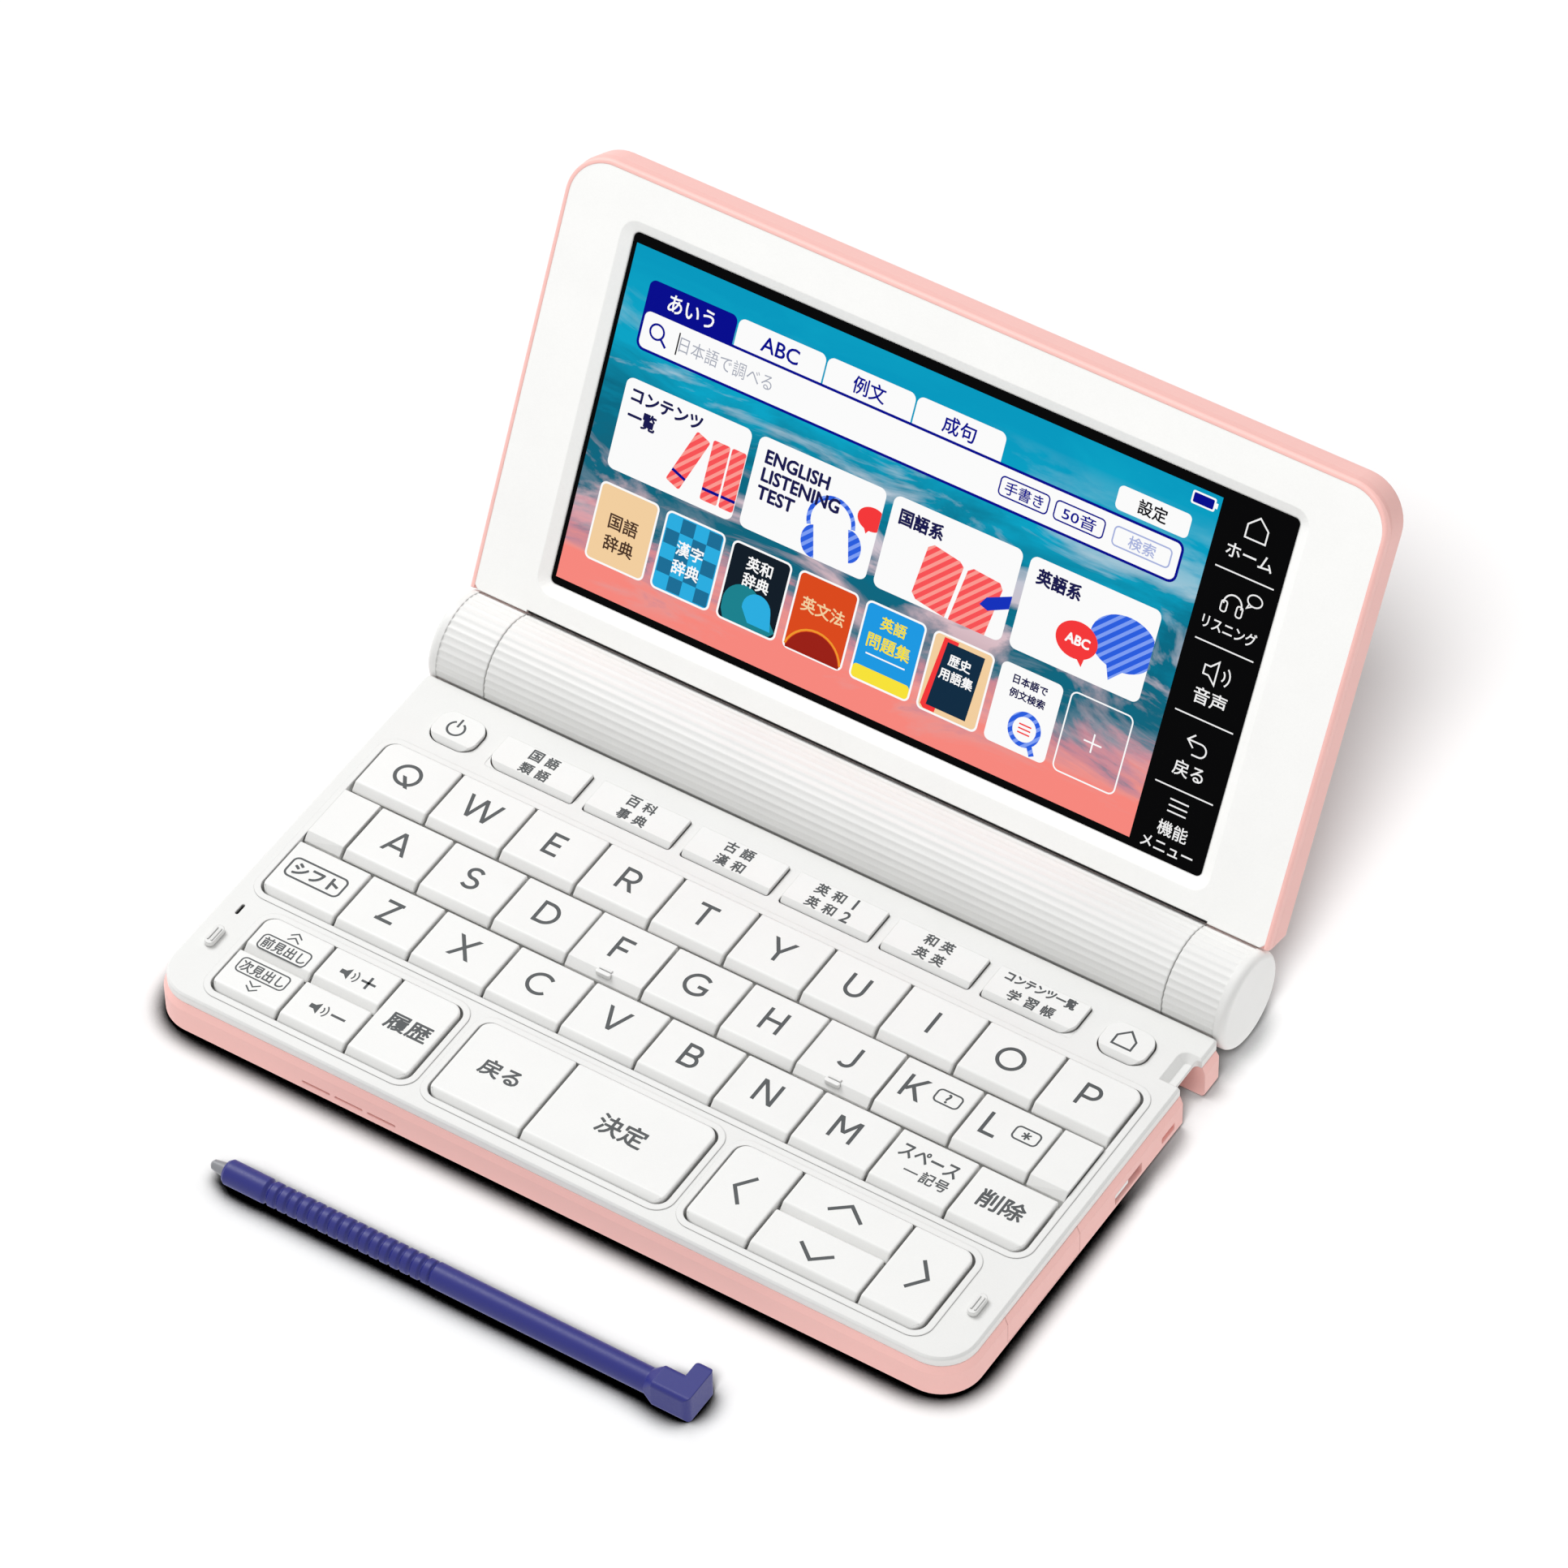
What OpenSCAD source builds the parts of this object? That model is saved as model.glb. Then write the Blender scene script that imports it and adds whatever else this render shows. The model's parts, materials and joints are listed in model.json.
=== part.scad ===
// Electronic dictionary: a clamshell with a 42-key keyboard, a barrel hinge that
// holds two AA cells, a wide colour display with a touch strip, and a stylus.
// Millimetres. X to the right, Y to the back, Z up. Z = 0 is the table.

/* [Show] */
// One piece, or all of them

/* [Case] */
// Width of case and lid
case_width = 148; // [140:0.5:160]
// Front edge to the rear edge under the barrel
case_depth = 77; // [76:0.5:84]
// Plan radius of the two front corners
corner_radius = 7; // [4:0.5:9]
// Height of the seam between case and deck
seam_height = 6.4; // [6.4:0.1:7]
// Side wall thickness
wall = 1.6; // [1.2:0.1:2]
// Floor thickness
floor_thickness = 1.3; // [1.1:0.1:1.35]
// How far the feet stand out
foot_height = 0.5; // [0.3:0.1:1]

/* [Barrel and lid] */
// Outer diameter of the battery barrel
barrel_diameter = 16.66; // [16.6:0.02:18]
// Flutes around the barrel
flute_count = 40; // [20:4:60]
// Depth of one flute
flute_depth = 0.16; // [0.08:0.02:0.24]
// Length of each end knuckle that turns with the lid
knuckle_length = 11.1; // [9:0.1:13]
// Lean of the open lid back from upright, degrees
lid_lean = 26.85; // [0:0.05:40]
// Thickness of the lid
lid_thickness = 6.6; // [6:0.1:7]

/* [Display] */
// Width of the clear window
window_width = 120.4; // [110:0.2:122]
// From the lid's top edge down to the window
window_top = 10.05; // [8:0.05:16]
// From the lid's lower edge up to the window
window_bottom = 6.18; // [5.8:0.01:14]
// Width of the sloped frame around the window
window_slope = 2; // [1:0.1:2.5]

/* [Keys] */
// Travel of every key
key_travel = 0.9; // [0.5:0.05:1]
// Gap between neighbouring caps
key_gap = 0.5; // [0.4:0.05:0.8]
// Height of the cap tops above the case bottom
key_top = 8.8; // [8.6:0.05:9]
// Gap between the letter rows, front to back
row_gap = 1.155; // [0.8:0.005:1.5]

/* [Stylus] */
// Diameter of the stylus barrel
stylus_diameter = 4.2; // [3.6:0.1:4.4]
// Length with its tip
stylus_length = 88.3; // [84:0.1:96]
// Finger ribs on the stylus
rib_count = 16; // [8:1:18]

/* [Hidden] */
$fn = 48;
eps = 0.01;
half = case_width / 2;
seam_inset = 0.6;
chamfer = 0.52;
deck_top = seam_height + 1.75;
barrel_r = barrel_diameter / 2;
axis_y = case_depth + barrel_r + 0.33;
axis_z = barrel_r + 0.5;
core_half = half - knuckle_length;
bay_r = 7.4;
// what sits inside the case keeps its share of the case's width and depth
kx = case_width / 148;
ky = case_depth / 77;
// AA cells, to the usual standard size
cell_d = 14.5;
cell_l = 50.5;
bay_half = cell_l + 1.3;
cover_half = cell_l + 0.5;
pin_x0 = bay_half + 2.9;
// the battery cover's half angle, and the direction that it comes off in
cover_open = 80;
cover_dir = -47;
// lid frame: u to the right, v up the lid, w out of its face
lid_front = axis_z - key_top - 1.135;
lid_back = lid_front - lid_thickness;
lid_v0 = barrel_r + 0.22;
lid_v1 = axis_y + 0.42;
// window, measured from the lid's own edges
win_u = -0.55;
window_height = lid_v1 - lid_v0 - window_top - window_bottom;
win_v = lid_v1 - window_top - window_height / 2;
glass_top = lid_front - 1;
// stack under the caps
board_bottom = floor_thickness + 0.85;
board_top = board_bottom + 0.6;
sheet_top = board_top + 0.25;
plate_top = key_top - 3;
plate_bottom = plate_top - 0.7;
stem_end = plate_bottom - 0.7;
cap_bottom = key_top - 1.7;
dome_top = stem_end - key_travel - 0.04;
// key field
field_half = half - 4.1;
pitch = 2 * field_half / 10;
row_rear = case_depth - 15.54;
row_pitch = 0.16435 * case_depth;
cap_depth = row_pitch - row_gap;
bevel_run = 1.25;
bevel_drop = 1.2;
group_front = 4;
group_rear = row_rear - 2 * row_pitch - cap_depth - 3.75;
group_split = group_rear - 0.4734 * (group_rear - group_front);
group_middle = (group_front + group_rear) / 2;
small_x = 61.95 * kx;
small_half = 4.15 * kx;
short_front = case_depth - 11.5;
short_rear = case_depth - 4.95;
short_pitch = 18.4 * kx;
short_width = 16.1 * kx;
short_x0 = -54.44 * kx;
// stylus silo and the notch for its head
silo_y = case_depth - 8.2;
silo_z = 3.2;
silo_r = stylus_diameter / 2 + 0.25;
silo_wall = 0.8;
notch_x = half - 7.1;
notch_y0 = case_depth - 11.5;
notch_y1 = case_depth - 4.94;
silo_end = notch_x - stylus_length + 6;
post_rear = case_depth - 17;
short_bottom = silo_z + silo_r + silo_wall + key_travel + 0.1;
foot_y = case_depth - 13.3;
foot_seat = 1;
// side openings
card_y0 = 14.4;
card_y1 = 35.2;
usb_y0 = case_depth - 31.5;
usb_y1 = case_depth - 23.6;
// stylus on the table
pen_y = -20.65;
head_low = stylus_diameter / 2 + 0.25;
head_high = head_low + 0.65;
head_front = head_low + 0.1;
pen_z = head_low - foot_height;
pen_x0 = -47;
pen_x1 = pen_x0 + stylus_length;
arm_y = 5.15;
// middle of the whole object, front to back
far_y = axis_y + (lid_v1 - 0.42) * sin(lid_lean) - (lid_back + 0.4) * cos(lid_lean);
far_y2 = axis_y + (lid_v1 - 1) * sin(lid_lean) - lid_back * cos(lid_lean);
near_y = pen_y - head_front;
middle_y = (max(far_y, far_y2) + near_y) / 2;

PINK = [0.97, 0.78, 0.75];
WHITE = [0.95, 0.95, 0.94];
KEY = [0.98, 0.98, 0.97];
STEEL = [0.7, 0.7, 0.72];
INDIGO = [0.18, 0.18, 0.5];

// ---------- shared forms ----------

// from the case's corner on the table plane to the part's own frame
module place() translate([0, -middle_y, foot_height]) children();

// the open lid: u, v, w to X, Y, Z
module in_lid() place() translate([0, axis_y, axis_z]) rotate([90 - lid_lean, 0, 0]) children();

// a (y, z) profile run along X
module along_x(x0, x1) translate([x0, 0, 0]) rotate([90, 0, 90]) linear_extrude(x1 - x0) children();

// an (x, z) profile run along Y
module along_y(y0, y1) translate([0, y1, 0]) rotate([90, 0, 0]) linear_extrude(y1 - y0) children();

module box(x0, x1, y0, y1, z0, z1) translate([x0, y0, z0]) cube([x1 - x0, y1 - y0, z1 - z0]);

// a flat tablet whose edge runs round with one profile: a list of [inset, z] from the bottom up.
// r is the plan radius of its two front corners, rear that of the two rear ones; with rear = 0
// the rear side is plain and upright
module tablet(h, y0, y1, r, edge, rear = 0) {
  n = len(edge) - 1;
  z0 = edge[0][1];
  z1 = edge[n][1];
  along_x(-h + r, h - r)
    polygon(concat([for (e = edge) [y0 + e[0], e[1]]], [[y1 - rear, z1], [y1 - rear, z0]]));
  along_y(y0 + r, y1 - rear) polygon(concat([for (e = edge) [h - e[0], e[1]]],
    [for (k = [0:n]) let (e = edge[n - k]) [-h + e[0], e[1]]]));
  for (s = [-1, 1]) {
    translate([s * (h - r), y0 + r, 0]) edge_round(r, edge, z0, z1);
    if (rear > 0) translate([s * (h - rear), y1 - rear, 0]) edge_round(rear, edge, z0, z1);
  }
  if (rear > 0) along_x(-h + rear, h - rear)
    polygon(concat([[y1 - r, z0]], [for (e = edge) [y1 - e[0], e[1]]], [[y1 - r, z1]]));
}
module edge_round(r, edge, z0, z1) rotate_extrude()
  polygon(concat([[0, z0]], [for (e = edge) [r - e[0], e[1]]], [[0, z1]]));

// the same with upright sides
module slab(h, y0, y1, r, z0, z1) tablet(h, y0, y1, r, [[0, z0], [0, z1]]);

// a rounded rectangle as squares and circles, so that its arcs stay true
module round_rect(x0, x1, y0, y1, r) {
  translate([x0 + r, y0]) square([x1 - x0 - 2 * r, y1 - y0]);
  translate([x0, y0 + r]) square([x1 - x0, y1 - y0 - 2 * r]);
  for (x = [x0 + r, x1 - r], y = [y0 + r, y1 - r]) translate([x, y]) circle(r = r);
}

module round_box(x0, x1, y0, y1, r, z0, z1)
  translate([0, 0, z0]) linear_extrude(z1 - z0) round_rect(x0, x1, y0, y1, r);

// barrel section: shallow scallops that meet in sharp ridges
module fluted_circle() {
  step = 360 / flute_count;
  polygon([for (k = [0:flute_count - 1], i = [0:3])
    let (a = 5 + step * (k + i / 4), r = barrel_r - flute_depth * (i == 0 ? 0 : i == 2 ? 1 : 0.75))
    [r * cos(a), r * sin(a)]]);
}

// a wedge of the plane from angle a0 to a1
module sector(a0, a1, r = 30)
  polygon(concat([[0, 0]], [for (i = [0:8]) let (a = a0 + (a1 - a0) * i / 8) r * [cos(a), sin(a)]]));

// ---------- base ----------

// the outside of the pink case
module case_shape() tablet(half, 0, case_depth, corner_radius,
  [[0.5, 0], [0, 0.5], [0, seam_height - 1.4], [chamfer, seam_height]], 1);

// the notch in the right side that takes the stylus head
module notch(z0, z1, x = notch_x) round_box(x, half + 9, notch_y0, notch_y1, 0.8, z0, z1);

module lower_case() color(PINK) place() difference() {
  union() {
    difference() {
      case_shape();
      slab(half - wall, wall, case_depth - wall, corner_radius - wall, floor_thickness, 20);
    }
    // walls round the notch
    box(notch_x - 1.2, half - wall + eps, notch_y0 - 1.2, notch_y1 + 1.2, 0.6, seam_height);
    // silo tube on its web
    along_x(silo_end - 1, notch_x - 1.2 + eps) translate([silo_y, silo_z]) {
      circle(r = silo_r + silo_wall);
      translate([-1.6, 0.7 - silo_z]) square([3.2, 2]);
    }
    // inner wall behind the card cover, with the slots for its two hooks
    box(half - wall - 1.5, half - wall + eps, card_y0 - 1, card_y1 + 1, 0.6, 5);
    // posts for the board
    for (x = [-half + 8, -24.6 * kx, 21 * kx], y = [6.4, 22.6 * ky, 43 * ky, post_rear]) post(x, y);
    for (y = [6.4, (card_y1 + usb_y0) / 2 - 2.3, post_rear]) post(half - 8, y);
  }
  // bore for the stylus
  along_x(silo_end, half + 9) translate([silo_y, silo_z]) circle(r = silo_r);
  notch(-1, 20);
  // seat of the card cover
  box(half - wall + 0.1, half + 1, card_y0, card_y1, 0.8, 20);
  box(half - 17.1, half, card_y0 + 2.6, card_y0 + 16.6, 0.95, board_bottom);
  for (y = [card_y0 + 3, card_y1 - 5]) box(half - 9, half, y - 0.05, y + 2.05, 3.15, 4.65);
  // socket opening and the shallow pocket behind it
  round_box_x(half - 4, half + 1, usb_y0, usb_y1, 1.2, 3.4, 0.35);
  round_box_x(half - 1.1, half + 1, case_depth - 17.7, case_depth - 13.9, 1.5, 2.9, 0.3);
  // speaker slits in the front
  for (i = [0:2]) let (x = -44.7 * kx + 6.1 * i) round_box_y(-1, wall + 1, x, x + 5.2, 1.8, 2.3, 0.2);
  // the saddle of the barrel comes in through the rear wall
  box(-core_half + 4.8, core_half - 4.8, case_depth - 5, case_depth + 1, floor_thickness, 4.9);
}

module post(x, y) translate([x, y, 0.6]) cylinder(h = board_bottom - 0.6, r = 1.1, $fn = 12);

// rounded openings through a side wall and through the front wall
module round_box_x(x0, x1, y0, y1, z0, z1, r) along_x(x0, x1) round_rect(y0, y1, z0, z1, r);
module round_box_y(y0, y1, x0, x1, z0, z1, r) along_y(y0, y1) round_rect(x0, x1, z0, z1, r);

// the lowered outline of one key well, and the stem slots in its floor
module well(x0, x1, y0, y1, r = 2.2) {
  round_box(x0 - 0.25, x1 + 0.25, y0 - 0.25, y1 + 0.25, r, plate_top, 20);
}
module well_tub(x0, x1, y0, y1, r = 2.6)
  round_box(x0 - 1.05, x1 + 1.05, y0 - 1.05, y1 + 1.05, r + 0.4, plate_bottom, deck_top - 0.5);
module well_lip(x0, x1, y0, y1, r = 3)
  round_box(x0 - 1.35, x1 + 1.35, y0 - 1.35, y1 + 1.35, r + 0.3, deck_top - 0.5, deck_top + 0.12);

function row_y1(n) = row_rear - (n - 1) * row_pitch;
function row_y0(n) = row_y1(n) - cap_depth;
function col_x(n, c) = -field_half + pitch * (c + (n == 2 ? 0.5 : 0));
// x of each edge in the three lower groups
GROUP_A = kx * [-64.9, -52.3, -39.6, -27.9];
GROUP_B = kx * [-24.3, -7.2, 18.95];
GROUP_C = kx * [22.4, 33.95, 53.65, 64.9];

module stem_slot(x, y) box(x - 2.7, x + 2.7, y - 1.45, y + 1.45, plate_bottom - 1, plate_top + 1);

module key_deck() color(WHITE) place() {
  difference() {
    union() {
      deck_plate();
      well_tub(-field_half, field_half, row_y0(3), row_y1(1));
      well_lip(-field_half, field_half, row_y0(3), row_y1(1));
      for (g = [GROUP_A, GROUP_B, GROUP_C]) {
        well_tub(g[0], g[len(g) - 1], group_front, group_rear);
        well_lip(g[0], g[len(g) - 1], group_front, group_rear);
      }
      for (s = [-1, 1]) cushion(s * (half - 4.3), 12.8);
    }
    well(-field_half, field_half, row_y0(3), row_y1(1));
    for (g = [GROUP_A, GROUP_B, GROUP_C]) well(g[0], g[len(g) - 1], group_front, group_rear);
    // stem slots of the letter rows
    for (n = [1:3], c = [0:(n == 2 ? 8 : 9)])
      stem_slot(col_x(n, c) + pitch / 2, row_y1(n) - cap_depth / 2);
    // stem slots of the lower groups
    for (k = [0, 1], i = [0, 1]) stem_slot((GROUP_A[i] + GROUP_A[i + 1]) / 2, pair_y(k));
    stem_slot((GROUP_A[2] + GROUP_A[3]) / 2, group_middle);
    for (i = [0, 1]) stem_slot((GROUP_B[i] + GROUP_B[i + 1]) / 2, group_middle);
    for (i = [0, 2]) stem_slot((GROUP_C[i] + GROUP_C[i + 1]) / 2, group_middle);
    for (k = [0, 1]) stem_slot((GROUP_C[1] + GROUP_C[2]) / 2, pair_y(k));
    // holes of the shortcut row, power and home
    for (i = [0:5])
      short_hole(short_x0 + i * short_pitch, short_x0 + i * short_pitch + short_width, 0.35);
    for (s = [-1, 1]) short_hole(s * small_x - small_half, s * small_x + small_half, 2.45);
    // the notch, the thumb relief beside it and the microphone hole
    box(notch_x - 1.4, half, notch_y0 - 1.4, notch_y1 + 1.4, 0, seam_height + eps);
    notch(0, 20, half - 1.8);
    relief();
    round_box(-half + 3.9, -half + 4.5, 18.6, 20.9, 0.29, 0, 20);
  }
  // the two blank half keys of the middle row are part of the deck
  cap(-field_half, col_x(2, 0) - key_gap / 2, row_y0(2), row_y1(2), plate_top - 0.1);
  cap(col_x(2, 9) + key_gap / 2, field_half, row_y0(2), row_y1(2), plate_top - 0.1);
}

// the deck's top plate, its visible lip and the skirt inside the case
module deck_plate() {
  h = half - seam_inset;
  r = corner_radius - seam_inset;
  back = case_depth + 0.1;
  difference() {
    union() {
      tablet(h, seam_inset, back, r, [[0, seam_height], [0, deck_top - 0.35], [0.35, deck_top]], 0.9);
      slab(half - wall - 0.1, wall + 0.1, case_depth - wall - 0.1, corner_radius - wall - 0.1,
        seam_height - 1.2, seam_height + eps);
    }
    slab(half - wall - 1.1, wall + 1.1, case_depth - wall - 1.1, corner_radius - wall - 1.1,
      0, deck_top - 1.5);
  }
}

// middles of the short keys in a stacked pair, front one first
function pair_y(k) = k == 0 ? (group_front + group_split - 0.25) / 2
  : (group_split + 0.25 + group_rear) / 2;

module short_hole(x0, x1, r)
  round_box(x0 - 0.25, x1 + 0.25, short_front - 0.25, short_rear + 0.25, r + 0.25, 0, 20);

// a soft slot-shaped cushion with two ribs
module cushion(x, y) {
  round_box(x - 0.8, x + 0.8, y - 2.1, y + 2.1, 0.79, deck_top - 1, deck_top + 0.9);
  for (d = [-0.35, 0.35]) box(x + d - 0.12, x + d + 0.12, y - 1.4, y + 1.4, deck_top, deck_top + 1.05);
}

// the hollow that leads the thumb to the stylus head: a floor, two slopes, and a cone between them
module relief() {
  z0 = deck_top - 1.2;
  x = half - 2.6;
  y = notch_y1 - 1.3;
  z1 = deck_top + 0.1;
  along_y(notch_y0, y) polygon([[x - 1.8, z1], [x - 0.5, z0], [half + 1, z0], [half + 1, z1]]);
  along_x(x, half + 1) polygon([[y + 1.8, z1], [y + 0.5, z0], [notch_y0, z0], [notch_y0, z1]]);
  translate([x, y, z0]) cylinder(h = z1 - z0, r1 = 0.5, r2 = 1.8);
}

module main_board() color([0.1, 0.45, 0.3]) place() {
  difference() {
    box(-half + 3, half - wall - 1.6, 4.5, short_front - 0.7, board_bottom, board_top);
    box(notch_x - 1.3, half, notch_y0 - 1.3, notch_y0 + 1, 0, 9);
    box(-45.6 * kx - 1.4, -45.6 * kx + 20.6, 0, 5.1, 0, 9);
    box(half - 8.2, half, usb_y0 + 0.1, usb_y1 - 0.1, 0, 9);
  }
  // socket shell with its tongue
  difference() {
    round_box_x(half - 8.2, half - 1.4, usb_y0 + 0.1, usb_y1 - 0.1, 1.32, 3.3, 0.34);
    round_box_x(half - 7.2, half, usb_y0 + 0.4, usb_y1 - 0.4, 1.6, 3.02, 0.3);
  }
  box(half - 7.4, half - 1.7, usb_y0 + 0.75, usb_y1 - 2.7, 2.2, 2.7);
  // memory card socket under the board
  box(half - 17, half - wall - 1.7, card_y0 + 2.7, card_y0 + 16.5, 0.95, board_bottom + eps);
  // speaker behind the slits, on a tab of the board
  round_box(-45.6 * kx - 0.2, -45.6 * kx + 19.2, wall + 0.1, 4.9, 0.6, floor_thickness, 3.6);
  box(-45.6 * kx + 5.6, -45.6 * kx + 13.6, 4.5, 6, board_bottom, board_top);
  // processor, memory and power chips under the board
  chip(-6, 38, 16, 16);
  chip(13.5, 37.5, 11, 9);
  chip(-35.5, 47.5, 9, 7);
}

// a chip, at its share of the case's width and depth
module chip(x, y, dx, dy) box(kx * x - dx / 2, kx * x + dx / 2, ky * y - dy / 2, ky * y + dy / 2,
  floor_thickness + 0.1, board_bottom + eps);

// a dome, drawn at the height it has under a pressed key
module dome(x, y, r = 2.4) translate([x, y, sheet_top - eps])
  cylinder(h = dome_top - sheet_top + eps, r1 = r, r2 = r * 0.7, $fn = 10);

module key_rubber() color([0.75, 0.77, 0.78]) place() {
  box(-half + 4, half - 8.7, 5.3, short_front - 0.8, board_top, sheet_top);
  for (n = [1:3], c = [0:(n == 2 ? 8 : 9)])
    dome(col_x(n, c) + pitch / 2, row_y1(n) - cap_depth / 2);
  for (k = [0, 1], i = [0, 1]) dome((GROUP_A[i] + GROUP_A[i + 1]) / 2, pair_y(k));
  dome((GROUP_A[2] + GROUP_A[3]) / 2, group_middle);
  for (i = [0, 1]) dome((GROUP_B[i] + GROUP_B[i + 1]) / 2, group_middle);
  for (i = [0, 2]) dome((GROUP_C[i] + GROUP_C[i + 1]) / 2, group_middle);
  for (k = [0, 1]) dome((GROUP_C[1] + GROUP_C[2]) / 2, pair_y(k));
  for (i = [0:5]) dome(short_x0 + i * short_pitch + short_width / 2, foot_y, 0.95);
  for (s = [-1, 1]) dome(s * small_x, foot_y, 0.95);
}

// the barrel's half that stays with the case
module battery_barrel() color(WHITE) place() difference() {
  union() {
    at_axis() along_x(-core_half + 0.1, core_half - 0.1) difference() {
      fluted_circle();
      rotate(cover_dir) sector(-cover_open, cover_open);
    }
    both_ends() along_x(cover_half + 0.1, core_half - 0.1) fluted_circle();
    // saddle that goes in under the deck
    box(-core_half + 5, core_half - 5, case_depth - 4.6, case_depth + 3.3, floor_thickness, 4.7);
  }
  at_axis() {
    along_x(-bay_half, bay_half) circle(r = bay_r);
    // rebate for the cover's tongues
    along_x(-cover_half - 0.1, cover_half + 0.1) rotate(cover_dir) difference() {
      circle(r = bay_r + 0.45);
      sector(cover_open + 7.2, 360 - cover_open - 7.2);
    }
  }
  // bearings of the hinge pins
  both_ends() along_x(pin_x0 - 0.1, core_half + 1) circle(r = 2.05);
  box(-core_half + 6.5, core_half - 6.5, case_depth - 4, case_depth - 0.4, floor_thickness + 1.2, 6);
  rear_feet(foot_seat);
}

module at_axis() translate([0, axis_y, axis_z]) children();
module both_ends() at_axis() for (s = [0, 1]) mirror([s, 0, 0]) children();

// two AA cells end to end between their contact springs
module batteries() color([0.75, 0.76, 0.78]) place() at_axis() rotate([0, 90, 0]) {
  for (x = [-cell_l, 0]) translate([0, 0, x]) {
    cylinder(h = cell_l - 1.1, r = cell_d / 2);
    translate([0, 0, cell_l - 1.1 - eps]) cylinder(h = 1.1 + eps, r = 2.7);
  }
  translate([0, 0, -bay_half]) cylinder(h = 1.3 + eps, r1 = 3.6, r2 = 2.2, $fn = 24);
  translate([0, 0, cell_l - eps]) cylinder(h = 1.3 + eps, r1 = 1.6, r2 = 3.6, $fn = 24);
}

module battery_cover() color(WHITE) place() at_axis()
  rotate([90, 0, 90]) {
    translate([0, 0, -cover_half]) linear_extrude(2 * cover_half) intersection() {
      difference() {
        fluted_circle();
        circle(r = bay_r);
      }
      rotate(cover_dir) sector(-cover_open + 0.35, cover_open - 0.35);
    }
    // tongues that slip behind the edges of the barrel
    translate([0, 0, -cover_half + 8]) linear_extrude(2 * cover_half - 16) rotate(cover_dir)
      intersection() {
        difference() {
          circle(r = bay_r + 0.35);
          circle(r = bay_r);
        }
        sector(-cover_open - 6.3, cover_open + 6.3);
      }
  }

module card_cover() color(PINK) place() {
  intersection() {
    case_shape();
    box(half - wall + 0.1, half + 1, card_y0 + 0.06, card_y1 - 0.06, 0.86, seam_height - 0.06);
  }
  // hooks through the inner wall
  for (y = [card_y0 + 3, card_y1 - 5])
    box(half - wall - 1.9, half - wall + 0.1 + eps, y + 0.05, y + 1.95, 3.25, 4.55);
}

module rubber_feet() color([0.35, 0.35, 0.36]) place() {
  for (x = [-half + 13, half - 13]) round_box(x - 5, x + 5, 6, 9.4, 1.69, -foot_height, 0);
  // the rear pair sits under the barrel, behind the open lid's weight
  rear_feet(foot_seat);
}
module rear_feet(z1) for (x = [-core_half + 5, core_half - 5])
  round_box(x - 3.4, x + 3.4, axis_y - 1.6, axis_y + 1.6, 1.59, -foot_height, z1);

// ---------- lid ----------

// back edge, side wall and front chamfer; the round corners are the upper ones
module lid_shape() mirror([0, 1, 0]) tablet(half, -lid_v1, -lid_v0, corner_radius + 0.5,
  [[1, lid_back], [0.42, lid_back + 0.4], [0, lid_back + 1], [0, lid_front - 1.6],
    [chamfer, lid_front - 0.2]]);

// the lower edge of the lid leans away from the barrel towards the back
module lid_heel() along_x(-half - 1, half + 1)
  polygon([[lid_v0 - 1, lid_front + 1], [lid_v0, lid_front + 1], [lid_v0, lid_front - 1.2],
    [lid_v0 + 1.5, lid_back - 0.2], [lid_v0 - 1, lid_back - 0.2]]);

// the dark gap between the lid and the middle of the barrel
module lid_gap() box(-core_half - 0.2, core_half + 0.2, lid_v0 - 1, lid_v0 + 0.4,
  lid_front - 2, lid_front + 1);

module lid_cover() color(PINK) in_lid() difference() {
  lid_shape();
  lid_gap();
  mirror([0, 1, 0]) slab(half - 1.5, -lid_v1 + 1.5, -lid_v0 - 2.6, corner_radius - 1, lid_back + 1.3, 9);
  lid_heel();
  // the arms of the end knuckles come in here
  for (s = [0, 1]) mirror([s, 0, 0])
    box(core_half + 1.55, half - 1.75, 0, lid_v0 + 9, lid_back + 1.5, lid_front - 1);
}

// a block round the middle of the window, wider than the window by e on each side
module window_box(e, z0, z1) box(win_u - window_width / 2 - e, win_u + window_width / 2 + e,
  win_v - window_height / 2 - e, win_v + window_height / 2 + e, z0, z1);

module lid_bezel() color(WHITE) in_lid() difference() {
  union() {
    mirror([0, 1, 0]) {
      tablet(half - chamfer, -lid_v1 + chamfer, -lid_v0 - 0.02, corner_radius,
        [[0, lid_front - 0.2], [0, lid_front - 0.15], [0.15, lid_front]]);
      slab(half - 1.6, -lid_v1 + 1.6, -lid_v0 - 2.7, corner_radius - 1,
        lid_front - 1, lid_front - 0.2 + eps);
    }
    // locating rim round the window
    difference() {
      window_box(3, glass_top - 1.3, glass_top + eps);
      window_box(1.6, glass_top - 2, glass_top);
    }
  }
  lid_gap();
  // clear opening and its sloped frame
  hull() for (i = [0, 1]) {
    e = window_slope * (i == 0 ? 0 : 1.02);
    translate([win_u, win_v, glass_top + (i == 0 ? 0 : 1.02)]) linear_extrude(0.01)
      round_rect(-window_width / 2 - e, window_width / 2 + e, -window_height / 2 - e,
        window_height / 2 + e, 1 + e, $fn = 24);
  }
  round_box(win_u - window_width / 2, win_u + window_width / 2, win_v - window_height / 2,
    win_v + window_height / 2, 1, glass_top - 1, glass_top + 0.5);
  // small cut corners next to the knuckles
  for (s = [0, 1]) mirror([s, 0, 0]) translate([half - chamfer, lid_v0, 0])
    rotate(45) cube([1.4, 1.4, 9], center = true);
}

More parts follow.
